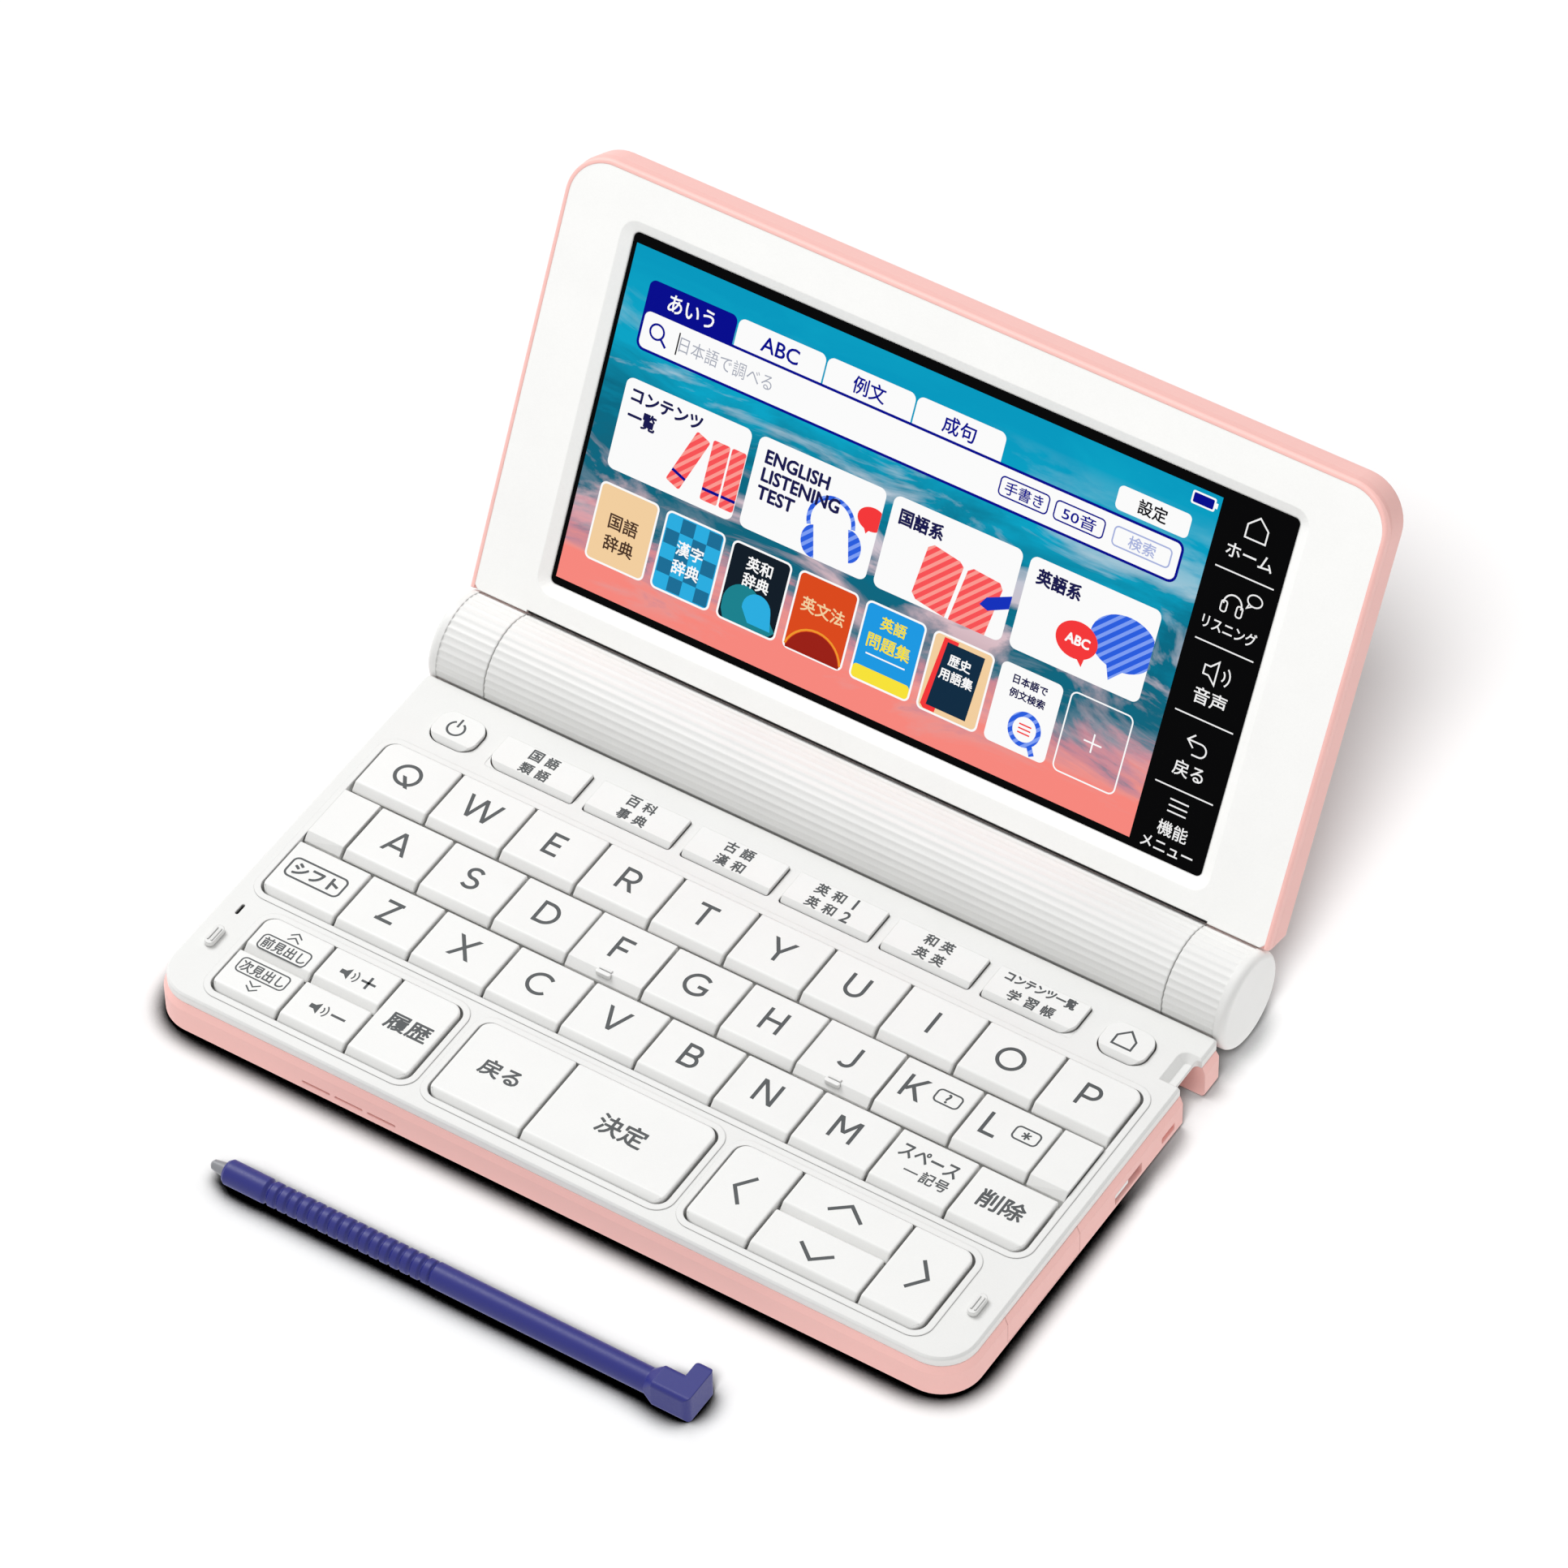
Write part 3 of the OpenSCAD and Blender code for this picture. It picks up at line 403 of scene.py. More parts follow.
class DICT_OT_case(bpy.types.Operator):
    """Finishes the pink lower case, the card cover and the lid's back"""

    bl_idname = "dictionary.case"
    bl_label = "Case"

    def execute(self, context):
        look = context.scene.dictionary_case
        # ABS, injection moulded, pink right through; the spark-eroded mould leaves a fine matt
        # grain that breaks the highlights
        pink = moulded("abs_moulded_pink", look.pink, look.grain, 0.012, 0.5, look.edge)
        for node in ("lower_case", "card_cover", "lid_cover"):
            dress(node, pink)
        # the lip of the lid's back, a pink line round the white frame; the profile gives for each
        # point how far it lies outside the frame, and its height in the lid's plane
        profile = [(-0.26, -1.3), (-0.26, -1.08), (-0.2, -1.05), (0.14, -1.05), (0.32, -1.1),
                   (0.46, -1.23), (0.52, -1.45), (0.52, -2.72), (0.45, -2.74)]
        # half the frame's width, its corners' radius, their middles' height, and its lower edge
        half, corner, high_corner, low = 73.48, 7, 78.23, 8.6
        middle = half - corner
        art = Print()
        for out, high in profile:
            side, r = half + out, corner + out
            path = [(-side, low), *arc(-middle, high_corner, r, 180, 90),
                    *arc(middle, high_corner, r, 90, 0), (side, low)]
            art.points += [(x, y, high) for x, y in path]
        n, m = len(path), len(profile)
        art.faces = [(k * n + i, k * n + i + 1, (k + 1) % m * n + i + 1, (k + 1) % m * n + i)
                     for k in range(m) for i in range(n - 1)]
        art.faces += [range(0, n * m, n), range(n * m - 1, 0, -n)]
        art.inks = [None] * len(art.faces)
        art.piece("lid_rim", LID, 0, "lid", "case_pink", pink)
        return {"FINISHED"}


class DICT_OT_shell(bpy.types.Operator):
    """Finishes the white key deck and the display frame"""

    bl_idname = "dictionary.shell"
    bl_label = "White shell"

    def execute(self, context):
        look = context.scene.dictionary_case
        # ABS, injection moulded in white, eroded to a grain that can just be felt
        # painted shade: gaps up to 0.7 mm wide round the caps are darkened in colour
        dress("key_deck", moulded("abs_eroded_white", look.white, look.grain, 0.014, 0.48,
                                  look.edge, crease=0.7))
        # the display frame is smoother, from a blasted mould
        dress("lid_bezel", moulded("abs_blasted_white", look.frame, look.grain, 0.007, 0.42,
                                   look.edge))
        return {"FINISHED"}


class DICT_OT_barrel(bpy.types.Operator):
    """Finishes the fluted battery barrel, its cover and the end knuckles"""

    bl_idname = "dictionary.barrel"
    bl_label = "Battery barrel"

    def execute(self, context):
        look = context.scene.dictionary_case
        # ABS, injection moulded, smoother than the shell so that the flutes shine a little
        barrel = moulded("abs_moulded_barrel", look.barrel, look.grain, 0.006, 0.42, 0.45)
        for node in ("battery_barrel", "battery_cover", "hinge_ends"):
            dress(node, barrel)
        return {"FINISHED"}


class DICT_OT_keys(bpy.types.Operator):
    """Finishes the key caps and softens their edges"""

    bl_idname = "dictionary.keys"
    bl_label = "Key caps"

    def execute(self, context):
        look = context.scene.dictionary_keys
        # ABS, moulded and vapour polished to a smooth satin under the finger
        # painted shade: gaps up to 0.7 mm wide between the caps are darkened in colour
        cap = moulded("abs_satin_cap", look.cap, 0.25, 0.004, 0.38, 0.2, crease=0.7)
        # the two blank half keys beside the letters are part of the deck
        deck = NODES["key_deck"]
        deck.data.materials.append(cap)
        to_case = KEYBOARD.inverted() @ deck.matrix_world
        for face in deck.data.polygons:
            x, y, z = (to_case @ face.center) / MM
            if z > 8.4 and 35 < y < 50 and 55 < abs(x) < FIELD_HALF:
                face.material_index = len(deck.data.materials) - 1
        dress("shortcut_keys", cap)
        for node in NODES:
            if node.startswith("key_") and node not in ("key_deck", "key_rubber"):
                dress(node, cap)
                if node not in ("key_f", "key_j", "key_power", "key_home"):
                    soft_edges(NODES[node], look.soft)
        for letter, column in (("f", 3), ("j", 6)):
            x, y = key_middle(2, column)
            bar = slab("home_bar_" + letter, tablet(x - 1.35, x + 1.35, y - 6.0, y - 5.25, 0.37),
                       KEYBOARD, KEY_TOP + 0.29, letter + "_cap", "key_white", cap, 0.8)
            edge = bar.modifiers.new("soft edge", "BEVEL")
            edge.width, edge.segments = 0.15 * MM, 3
        return {"FINISHED"}


def soft_edges(thing, radius):
    """Rounds the sharp edges of a CAD node by that many millimetres."""
    weld = thing.modifiers.new("join", "WELD")
    weld.merge_threshold = 1e-6
    flat = thing.modifiers.new("flat faces", "DECIMATE")
    flat.decimate_type = "DISSOLVE"
    flat.angle_limit = math.radians(0.5)
    bevel = thing.modifiers.new("soft edge", "BEVEL")
    bevel.width = radius * MM
    bevel.segments = 3
    bevel.limit_method = "ANGLE"
    bevel.angle_limit = math.radians(25)
    bevel.use_clamp_overlap = False


class DICT_OT_inside(bpy.types.Operator):
    """Finishes the circuit board, rubber sheet, cells, display panel, pins and feet"""

    bl_idname = "dictionary.inside"
    bl_label = "Inside and feet"

    def execute(self, context):
        # glass-epoxy laminate under green solder mask, cured to a soft gloss
        dress("main_board", moulded("glass_epoxy_board", linear("#1F6B45"), 0.8, 0.01, 0.35, 0.05))
        thing = NODES["main_board"].data
        # nickel-plated socket shell, drawn; white liquid-crystal-polymer tongue; black epoxy chips
        thing.materials.append(metal("nickel_shell", linear("#C9CACC"), 0.25))
        thing.materials.append(moulded("polymer_tongue", linear("#F4F4F2"), 0.2, 0.004, 0.4, 0.08))
        thing.materials.append(moulded("epoxy_chip", linear("#1B1B1D"), 0.15, 0.01, 0.55, 0.08))
        # the socket stands at the board's right edge; beside it, all that is lower than the
        # speaker's top is as dark as the chips
        to_case = KEYBOARD.inverted() @ NODES["main_board"].matrix_world
        for face in thing.polygons:
            x, y, z = (to_case @ face.center) / MM
            if x > 65.7 and 44 < y < 55:
                inside = 2.15 < z < 2.75 and x > 66.5 and y < 51
                face.material_index = len(thing.materials) - (2 if inside else 3)
            elif z < 3.2:
                face.material_index = len(thing.materials) - 1
        # the white end of the socket's tongue, near its mouth
        slab("socket_tongue_end", block(71.2, 73.75, 45.6, 49.7), KEYBOARD, 2.75, "base",
             "shell_white", thing.materials[-2], 0.7)
        # silicone rubber, moulded, dull and slightly dusty
        dress("key_rubber", moulded("silicone_sheet", linear("#B9BDC0"), 0.4, 0.01, 0.7, 0.1))
        # chloroprene rubber, die cut, matt
        dress("rubber_feet", moulded("rubber_foot", linear("#4A4A4C"), 0.3, 0.02, 0.8, 0.15))
        # steel cans of the cells in a printed sleeve, taken as satin metal
        dress("batteries", metal("steel_cell", linear("#B9BCC2"), 0.32))
        # stainless steel, turned and ground
        dress("hinge_pins", metal("steel_pin_turned", linear("#C8C9CC"), 0.22))
        # pressed aluminium frame of the display panel
        dress("lcd_module", metal("aluminium_panel", linear("#8C8F94"), 0.4))
        return {"FINISHED"}


def metal(name, colour, rough):
    """Bare metal with fine tool marks along X, a quarter of a millimetre apart."""
    material, tree, where = start_material(name)
    long = add(tree, "Mapping", {"Vector": where, "Scale": (0.02, 1, 1)})
    marks = add(tree, "TexNoise", {"Vector": long, "Scale": 1 / (0.25 * MM), "Detail": 2.0})
    gloss = add(tree, "MapRange",
                {"Value": marks, "To Min": rough - 0.08, "To Max": rough + 0.08})
    bump = add(tree, "Bump", {"Height": marks, "Distance": 0.004 * MM})
    body = add(tree, "BsdfPrincipled",
               {"Base Color": colour, "Metallic": 1.0, "Roughness": gloss, "Normal": bump})
    add(tree, "OutputMaterial", {0: body})
    return material


class DICT_OT_pen(bpy.types.Operator):
    """Finishes the stylus"""

    bl_idname = "dictionary.pen"
    bl_label = "Stylus"

    def execute(self, context):
        look = context.scene.dictionary_pen
        # ABS, moulded indigo, satin
        dress("stylus_barrel", moulded("abs_moulded_indigo", look.barrel, 0.3, 0.006, 0.42, 0.25))
        # acetal tip, moulded, slippery and a little waxy
        dress("stylus_tip", moulded("acetal_tip", look.tip, 0.3, 0.003, 0.35, 0.1, ior=1.48))
        return {"FINISHED"}


# ---------- legends ----------


def key_middle(row, column):
    """The middle of a letter key's flat top."""
    x = -FIELD_HALF + LETTER_PITCH * (column + 0.5 + (0.5 if row == 2 else 0))
    return x, ROW_REAR - (row - 1) * ROW_PITCH - 5.125


def chevron(x, y, wide, deep, turn):
    """A chevron's path; turn is the way it points, in degrees from +X."""
    return turned(((-deep / 2, wide / 2), (deep / 2, 0), (-deep / 2, -wide / 2)), x, y, turn)


# capitals of one stroke weight, one cap height tall: a number is an upright at that x, a tuple a
# stroke with level ends from one point to another, and a list a path that may bend
STROKE = 0.135
LOW, TOP = STROKE / 2, 1 - STROKE / 2
CAPITALS = {
    "a": [(-0.41, 0, 0, 1), (0.41, 0, 0, 1), [(-0.3, 0.27), (0.3, 0.27)]],
    "b": [-0.25,
          [(-0.25, TOP), (0.04, TOP), *arc(0.05, 0.725, 0.21, 90, -90), (-0.25, 0.515)],
          [(-0.2, 0.515), (0.08, 0.515), *arc(0.09, 0.291, 0.224, 90, -90), (-0.25, LOW)]],
    "c": [arc(0.04, 0.5, 0.45, 44, 316, 28, 0.97)],
    "d": [-0.3, [(-0.3, TOP), (-0.05, TOP), *arc(-0.04, 0.5, 0.4325, 90, -90), (-0.3, LOW)]],
    "e": [[(0.29, TOP), (-0.24, TOP), (-0.24, LOW), (0.3, LOW)], [(-0.24, 0.51), (0.23, 0.51)]],
    "f": [[(0.29, TOP), (-0.24, TOP), (-0.24, 0)], [(-0.24, 0.49), (0.23, 0.49)]],
    "g": [[*arc(0, 0.5, 0.45, 44, 322, 28, 0.97), (0.37, 0.44), (0.05, 0.44)]],
    "h": [-0.32, 0.32, [(-0.32, 0.5), (0.32, 0.5)]],
    "i": [0],
    "j": [[(0.2, 1), (0.2, 0.33), *arc(-0.06, 0.33, 0.26, 0, -140)]],
    "k": [-0.3, (-0.28, 0.3, 0.33, 1), (-0.05, 0.56, 0.36, 0)],
    "l": [[(-0.23, 1), (-0.23, LOW), (0.3, LOW)]],
    "m": [-0.39, 0.39, (-0.37, 1, 0, 0.33), (0.37, 1, 0, 0.33)],
    "n": [-0.33, 0.33, (-0.32, 1, 0.32, 0)],
    "o": [arc(0, 0.5, 0.46, 0, 360, 36, 0.97)],
    "p": [-0.27, [(-0.27, TOP), (0.03, TOP), *arc(0.06, 0.67, 0.2625, 90, -90), (-0.27, 0.4075)]],
    "q": [arc(0, 0.5, 0.46, 0, 360, 36, 0.97), (0.25, -0.06, -0.08, 0.44)],
    "r": [-0.28, [(-0.28, TOP), (0.02, TOP), *arc(0.04, 0.68, 0.2525, 90, -90), (-0.28, 0.4275)],
          (0.02, 0.44, 0.3, 0)],
    "s": [[*arc(0, 0.715, 0.25, 28, 262, 16, 0.87), *arc(0.01, 0.284, 0.27, 82, -148, 16, 0.81)]],
    "t": [[(-0.37, TOP), (0.37, TOP)], 0],
    "u": [[(-0.32, 1), (-0.32, 0.39), *arc(0, 0.39, 0.32, 180, 360), (0.32, 1)]],
    "v": [(-0.4, 1, 0, 0), (0.4, 1, 0, 0)],
    "w": [(-0.62, 1, -0.32, 0), (0, 1, -0.32, 0), (0, 1, 0.32, 0), (0.62, 1, 0.32, 0)],
    "x": [(-0.37, 1, 0.37, 0), (0.37, 1, -0.37, 0)],
    "y": [(-0.39, 1, 0, 0.4), (0.39, 1, 0, 0.4), (0, 0, 0, 0.46)],
    "z": [[(-0.33, TOP), (0.32, TOP)], [(-0.34, LOW), (0.34, LOW)], (-0.27, 0.02, 0.25, 0.98)],
}


def capital(art, letter, x, y, tall):
    """Prints a capital centred at x, y."""
    for k, part in enumerate(CAPITALS[letter]):
        if not isinstance(part, list):
            x0, y0, x1, y1 = part if isinstance(part, tuple) else (part, 0, part, 1)
            run = STROKE / 2 * math.hypot(x1 - x0, y1 - y0) / abs(y1 - y0)
            shape = [(x0 - run, y0), (x0 + run, y0), (x1 + run, y1), (x1 - run, y1)]
            art.fill([(x + a * tall, y + (b - 0.5) * tall) for a, b in shape], layer=1 + 0.2 * k)
        else:
            path = [(x + a * tall, y + (b - 0.5) * tall) for a, b in part]
            art.line(path, STROKE * tall, layer=1 + 0.2 * k)


def loudspeaker(art, x, y, s):
    """A loudspeaker sign with two sound waves; x, y is the middle of its cone's mouth."""
    cone = ((-0.62, -0.16), (-0.62, 0.16), (-0.3, 0.16), (0, 0.44), (0, -0.44), (-0.3, -0.16))
    art.fill([(x + a * s, y + b * s) for a, b in cone])
    for r in (0.3, 0.55):
        art.line(arc(x + 0.02 * s, y, r * s, -48, 48, 8), 0.09 * s)


# the two lines on each shortcut cap, the middle of the first cap, and the caps' pitch
SHORTCUTS = (("国語", "類語"), ("百科", "事典"), ("古語", "漢和"), ("英和1", "英和2"), ("和英", "英英"),
             ("コンテンツ一覧", "学習帳"))
SHORTCUT_FIRST, SHORTCUT_PITCH = -46.6, 18.4


class DICT_OT_legends(bpy.types.Operator):
    """Prints the legends on the key caps"""

    bl_idname = "dictionary.legends"
    bl_label = "Key legends"

    def execute(self, context):
        look = context.scene.dictionary_keys
        # polyurethane ink, pad printed, dark grey and duller than the cap
        inks = printed("legend_ink", look.ink)

        def put(key, art):
            art.piece("legend_" + key, KEYBOARD, KEY_TOP + FILM, key + "_cap", "key_white", inks)

        for row, letters in ((1, "qwertyuiop"), (2, "asdfghjkl"), (3, " zxcvbnm")):
            for column, letter in enumerate(letters):
                if letter == " ":
                    continue
                x, y = key_middle(row, column)
                side = {"k": -2.8, "l": -2.75}.get(letter, -0.25)
                art = Print()
                capital(art, letter, x + side, y + 0.1, look.letter)
                if letter in "kl":
                    bx = x + 2.87
                    art.line(tablet(bx - 2.15, bx + 2.15, y - 0.42, y + 2.18, 0.75), 0.3,
                             closed=True)
                    if letter == "k":
                        art.words("?", bx, y + 0.88, 1.85, bold=0.07)
                    for turn in (90, 30, -30) if letter == "l" else ():
                        art.line(turned([(-0.8, 0), (0.8, 0)], bx, y + 0.88, turn), 0.3,
                                 layer=1 + turn / 300)
                put(letter, art)

        art = Print()
        art.line(tablet(-68.2, -58.1, 29.05, 33.05, 0.95), 0.36, closed=True)
        art.words("シフト", -63.15, 31.05, 2.35, width=8.2, bold=0.12)
        put("shift", art)

        art = Print()
        art.words("スペース", 48.9, 32.65, 2.5, width=10.0, bold=0.07)
        art.line([(46.3, 29.35), (48.8, 29.35)], 0.28)
        art.words("記号", 51.7, 29.4, 2.3, width=4.7, bold=0.05)
        put("space", art)

        art = Print()
        art.words("削除", 62.75, 30.95, 3.6, width=7.7, bold=0.09)
        put("delete", art)

        for key, text, x, y, turn, marks in (
                ("prev", "前見出し", -58.6, 15.87, 90, (18.45, 19.45)),
                ("next", "次見出し", -58.65, 10.17, -90, (7.55, 6.55))):
            art = Print()
            art.line(tablet(x - 4.5, x + 4.45, y - 1.52, y + 1.53, 0.8), 0.26, closed=True)
            art.words(text, x, y, 2.2, width=8.0, bold=0.05)
            for mark in marks:
                art.line(chevron(-58.55, mark, 2.1, 0.8, turn), 0.26)
            put(key, art)

        for key, y in (("volume_up", 17.2), ("volume_down", 8.9)):
            art = Print()
            loudspeaker(art, -47.2, y, 2.7)
            art.line([(-44.95, y), (-42.35, y)], 0.45)
            if key == "volume_up":
                art.line([(-43.65, y - 1.3), (-43.65, y + 1.3)], 0.45)
            put(key, art)

        for key, text, x, y, tall, wide in (
                ("history", "履歴", -33.35, 12.95, 3.3, 7.6),
                ("back", "戻る", -16.2, 12.95, 3.3, 6.9), ("enter", "決定", 6.05, 12.95, 3.9, 8.3)):
            art = Print()
            art.words(text, x, y, tall, width=wide, bold=0.09)
            put(key, art)

        for key, x, y, turn in (("left", 27.6, 13.05, 180), ("up", 43.75, 17.75, 90),
                                ("down", 43.75, 8.0, -90), ("right", 59.7, 12.9, 0)):
            art = Print()
            art.line(chevron(x, y, 5.9, 2.35, turn), 0.62)
            put(key, art)

        art = Print()
        art.line(arc(-62.4, 68.85, 1.45, 118, 422, 32), 0.38)
        art.line([(-62.4, 69.2), (-62.4, 71.05)], 0.38)
        put("power", art)

        art = Print()
        art.line([(59.95, 67.5), (63.3, 67.5), (63.3, 69.35), (61.62, 70.95), (59.95, 69.35)],
                 0.36, closed=True)
        put("home", art)

        art = Print()
        for k, (upper, lower) in enumerate(SHORTCUTS):
            x = SHORTCUT_FIRST + SHORTCUT_PITCH * k
            for text, y in ((upper, 70.6), (lower, 67.6)):
                if len(text) == 7:
                    art.words(text, x, y + 0.15, 1.9, width=12.4, bold=0.08)
                else:
                    art.spaced(text, x, y, 2.15, 3.05, 0.06)
        art.piece("legend_shortcuts", KEYBOARD, KEY_TOP + FILM, "shortcut_strip", "key_white", inks)
        return {"FINISHED"}


# ---------- display ----------


def lit(name, colour, glow, paint=None):
    """A backlit colour of the display, cut by its pixel columns, an eighth of a millimetre wide.
    Where there is a paint, it makes the colour from the place instead."""
    material, tree, where = start_material(name)
    columns = add(tree, "TexWave", {"Vector": where, "Scale": math.tau / 20 / (0.125 * MM)})
    shade = add(tree, "MapRange",
                {"Value": columns.outputs["Fac"], "To Min": 0.96, "To Max": 1.02})
    tint = add(tree, "HueSaturation",
               {"Color": paint(tree, where) if paint else colour, "Value": shade})
    body = add(tree, "BsdfPrincipled",
               {"Base Color": (0, 0, 0, 1), "Emission Color": tint, "Emission Strength": glow,
                "Roughness": 0.3, "Specular IOR Level": COATED})
    add(tree, "OutputMaterial", {0: body})
    return material


def stripes(dark, light):
    """Slanting stripes of two colours, 1.3 mm from one to the next."""
    def paint(tree, where):
        slant = add(tree, "Mapping", {"Vector": where, "Scale": (1, -1, 1)})
        bands = add(tree, "TexWave",
                    {"Vector": slant, "Scale": math.tau / 10 / (1.85 * MM)},
                    bands_direction="DIAGONAL")
        side = add(tree, "Math", {0: bands.outputs["Fac"], 1: 0.6}, operation="GREATER_THAN")
        mix = add(tree, "Mix", {0: side, 6: linear(dark), 7: linear(light)}, data_type="RGBA")
        return mix.outputs[2]
    return paint


def set_ramp(node, *stops):
    """Gives a colour ramp its stops: place and colour."""
    ends = node.color_ramp.elements
    ends[0].position, ends[0].color = stops[0]
    ends[1].position, ends[1].color = stops[-1]
    for place, colour in stops[1:-1]:
        ends.new(place).color = colour


def evening(look):
    """An evening sky: bands of colour up the picture, bent and streaked by clouds."""
    def paint(tree, where):
        drift = add(tree, "Mapping",
                    {"Vector": where, "Rotation": (0, 0, 0.35), "Scale": (0.45, 1.3, 1)})
        clouds = add(tree, "TexNoise",
                     {"Vector": drift, "Scale": 1 / (13 * MM), "Detail": 7.0,
                      "Roughness": 0.62, "Distortion": 0.6})
        streaks = add(tree, "TexNoise",
                      {"Vector": drift, "Scale": 1 / (15 * MM), "Detail": 6.0,
                       "Roughness": 0.58, "Distortion": 0.9})
        y = add(tree, "SeparateXYZ", {0: where}).outputs["Y"]
        up = add(tree, "MapRange", {"Value": y, "From Min": 16 * MM, "From Max": 74 * MM})
        bend = add(tree, "MapRange",
                   {"Value": clouds, "From Min": 0.25, "From Max": 0.75,
                    "To Min": -0.19, "To Max": 0.19})
        level = add(tree, "Math", {0: up, 1: bend}, operation="ADD")
        bands = add(tree, "ValToRGB", {0: level})
        set_ramp(bands, (0.05, look.sky_low), (0.12, linear("#F1958F")), (0.2, linear("#C98A98")),
                 (0.26, linear("#5C7F92")), (0.32, linear("#0E667E")), (0.5, look.sky_middle),
                 (0.62, linear("#0489A8")), (0.76, linear("#05A6C9")), (1.0, look.sky_top))
        # pale clouds, thickest a little below the middle; the low sun warms the lower ones
        thin = add(tree, "MapRange",
                   {"Value": streaks, "From Min": 0.49, "From Max": 0.62, "To Max": 0.9})
        far = add(tree, "Math", {0: up, 1: 0.52}, operation="SUBTRACT")
        near = add(tree, "Math", {0: far}, operation="ABSOLUTE")
        belt = add(tree, "MapRange",
                   {"Value": near, "From Min": 0.16, "From Max": 0.42,
                    "To Min": 1.0, "To Max": 0.0})
        much = add(tree, "Math", {0: thin, 1: belt}, operation="MULTIPLY")
        warmth = add(tree, "ValToRGB", {0: up})
        set_ramp(warmth, (0.3, linear("#EFC6CB")), (0.55, linear("#D0D0DC")),
                 (0.85, linear("#9AD2E1")))
        mix = add(tree, "Mix", {0: much, 6: bands, 7: warmth}, data_type="RGBA")
        return mix.outputs[2]
    return paint


def cut(points, right=99.0, low=-99.0):
    """Points brought back to a right and a lower edge."""
    return [(min(x, right), max(y, low)) for x, y in points]


def bubble(art, x, y, r, tall, tail, ink, layer, right=99.0):
    """A speech bubble: an oval with a pointed tail."""
    art.fill(cut(arc(x, y, r, 0, 354, 40, tall), right), ink, layer)
    art.fill(tail, ink, layer + 0.3)


class DICT_OT_window(bpy.types.Operator):
    """Finishes the window over the display"""

    bl_idname = "dictionary.window"
    bl_label = "Display window"

    def execute(self, context):
        # toughened glass, printed black behind, with a coating against reflections; only its
        # polish and a trace of wiping show
        material, tree, where = start_material("glass_backprinted_black")
        wiped = add(tree, "TexNoise", {"Vector": where, "Scale": 1 / (14 * MM), "Detail": 2.0})
        gloss = add(tree, "MapRange", {"Value": wiped, "To Min": 0.12, "To Max": 0.2})
        body = add(tree, "BsdfPrincipled",
                   {"Base Color": linear("#020203"), "Roughness": gloss,
                    "Specular IOR Level": COATED})
        add(tree, "OutputMaterial", {0: body})
        dress("display_window", material)
        return {"FINISHED"}


# the colours of the picture
BACKLIT = {
    "white": "#FFFFFF", "word": "#17174F", "grey": "#A9ADBA", "pale": "#A9B4E0",
    "black": "#0A0A12", "red": "#F8383A", "blue": "#1231BE", "cream": "#F6D2A2",
    "brown": "#4B3426", "cyan": "#2BB0E4", "steel": "#1B6F98", "night": "#0E1B27",
    "teal": "#1A8390", "orange": "#DE4A1B", "wine": "#9C1F14", "amber": "#F39A2E",
    "yellow": "#FBE63A", "sea": "#1C9BE6", "ink": "#0D2C44"}
# each tab's word, its left and right edge, and the word's width and height
TABS = (("あいう", -56.1, -39.8, 8.4, 2.9), ("ABC", -39.5, -23.4, 6.8, 2.5),
        ("例文", -23.1, -7.0, 5.8, 2.9), ("成句", -6.7, 9.4, 5.8, 2.9))
# each card's title: words, place, width and height
CARDS = ((("コンテンツ", -48.0, 50.35, 13.0, 2.2), ("一覧", -51.85, 46.9, 5.1, 2.7)),
         (("ENGLISH", -23.5, 49.95, 11.6, 2.2), ("LISTENING", -22.15, 46.9, 14.2, 2.2),
          ("TEST", -26.0, 43.85, 6.7, 2.2)),
         (("国語系", -0.7, 49.95, 7.8, 2.6),), (("英語系", 24.2, 50.1, 7.8, 2.6),))
CARD_PITCH, TILE_PITCH = 24.85, 12.42
# each tile's cover and ink, and its words with their places up the picture and heights
TILES = (("cream", "brown", (("国語", 28.9, 2.6), ("辞典", 25.2, 2.6))),
         ("cyan", "white", (("漢字", 29.4, 2.4), ("辞典", 26.2, 2.4))),
         ("night", "white", (("英和", 32.0, 2.3), ("辞典", 29.2, 2.3))),
         ("orange", "cream", (("英文法", 29.6, 2.5),)),
         ("sea", "yellow", (("英語", 32.0, 2.2), ("問題集", 28.6, 2.5))),
         ("cream", "white", (("歴史", 31.0, 1.9), ("用語集", 28.4, 1.9))),
         ("white", "word", (("日本語で", 32.7, 1.5), ("例文検索", 30.4, 1.5))))


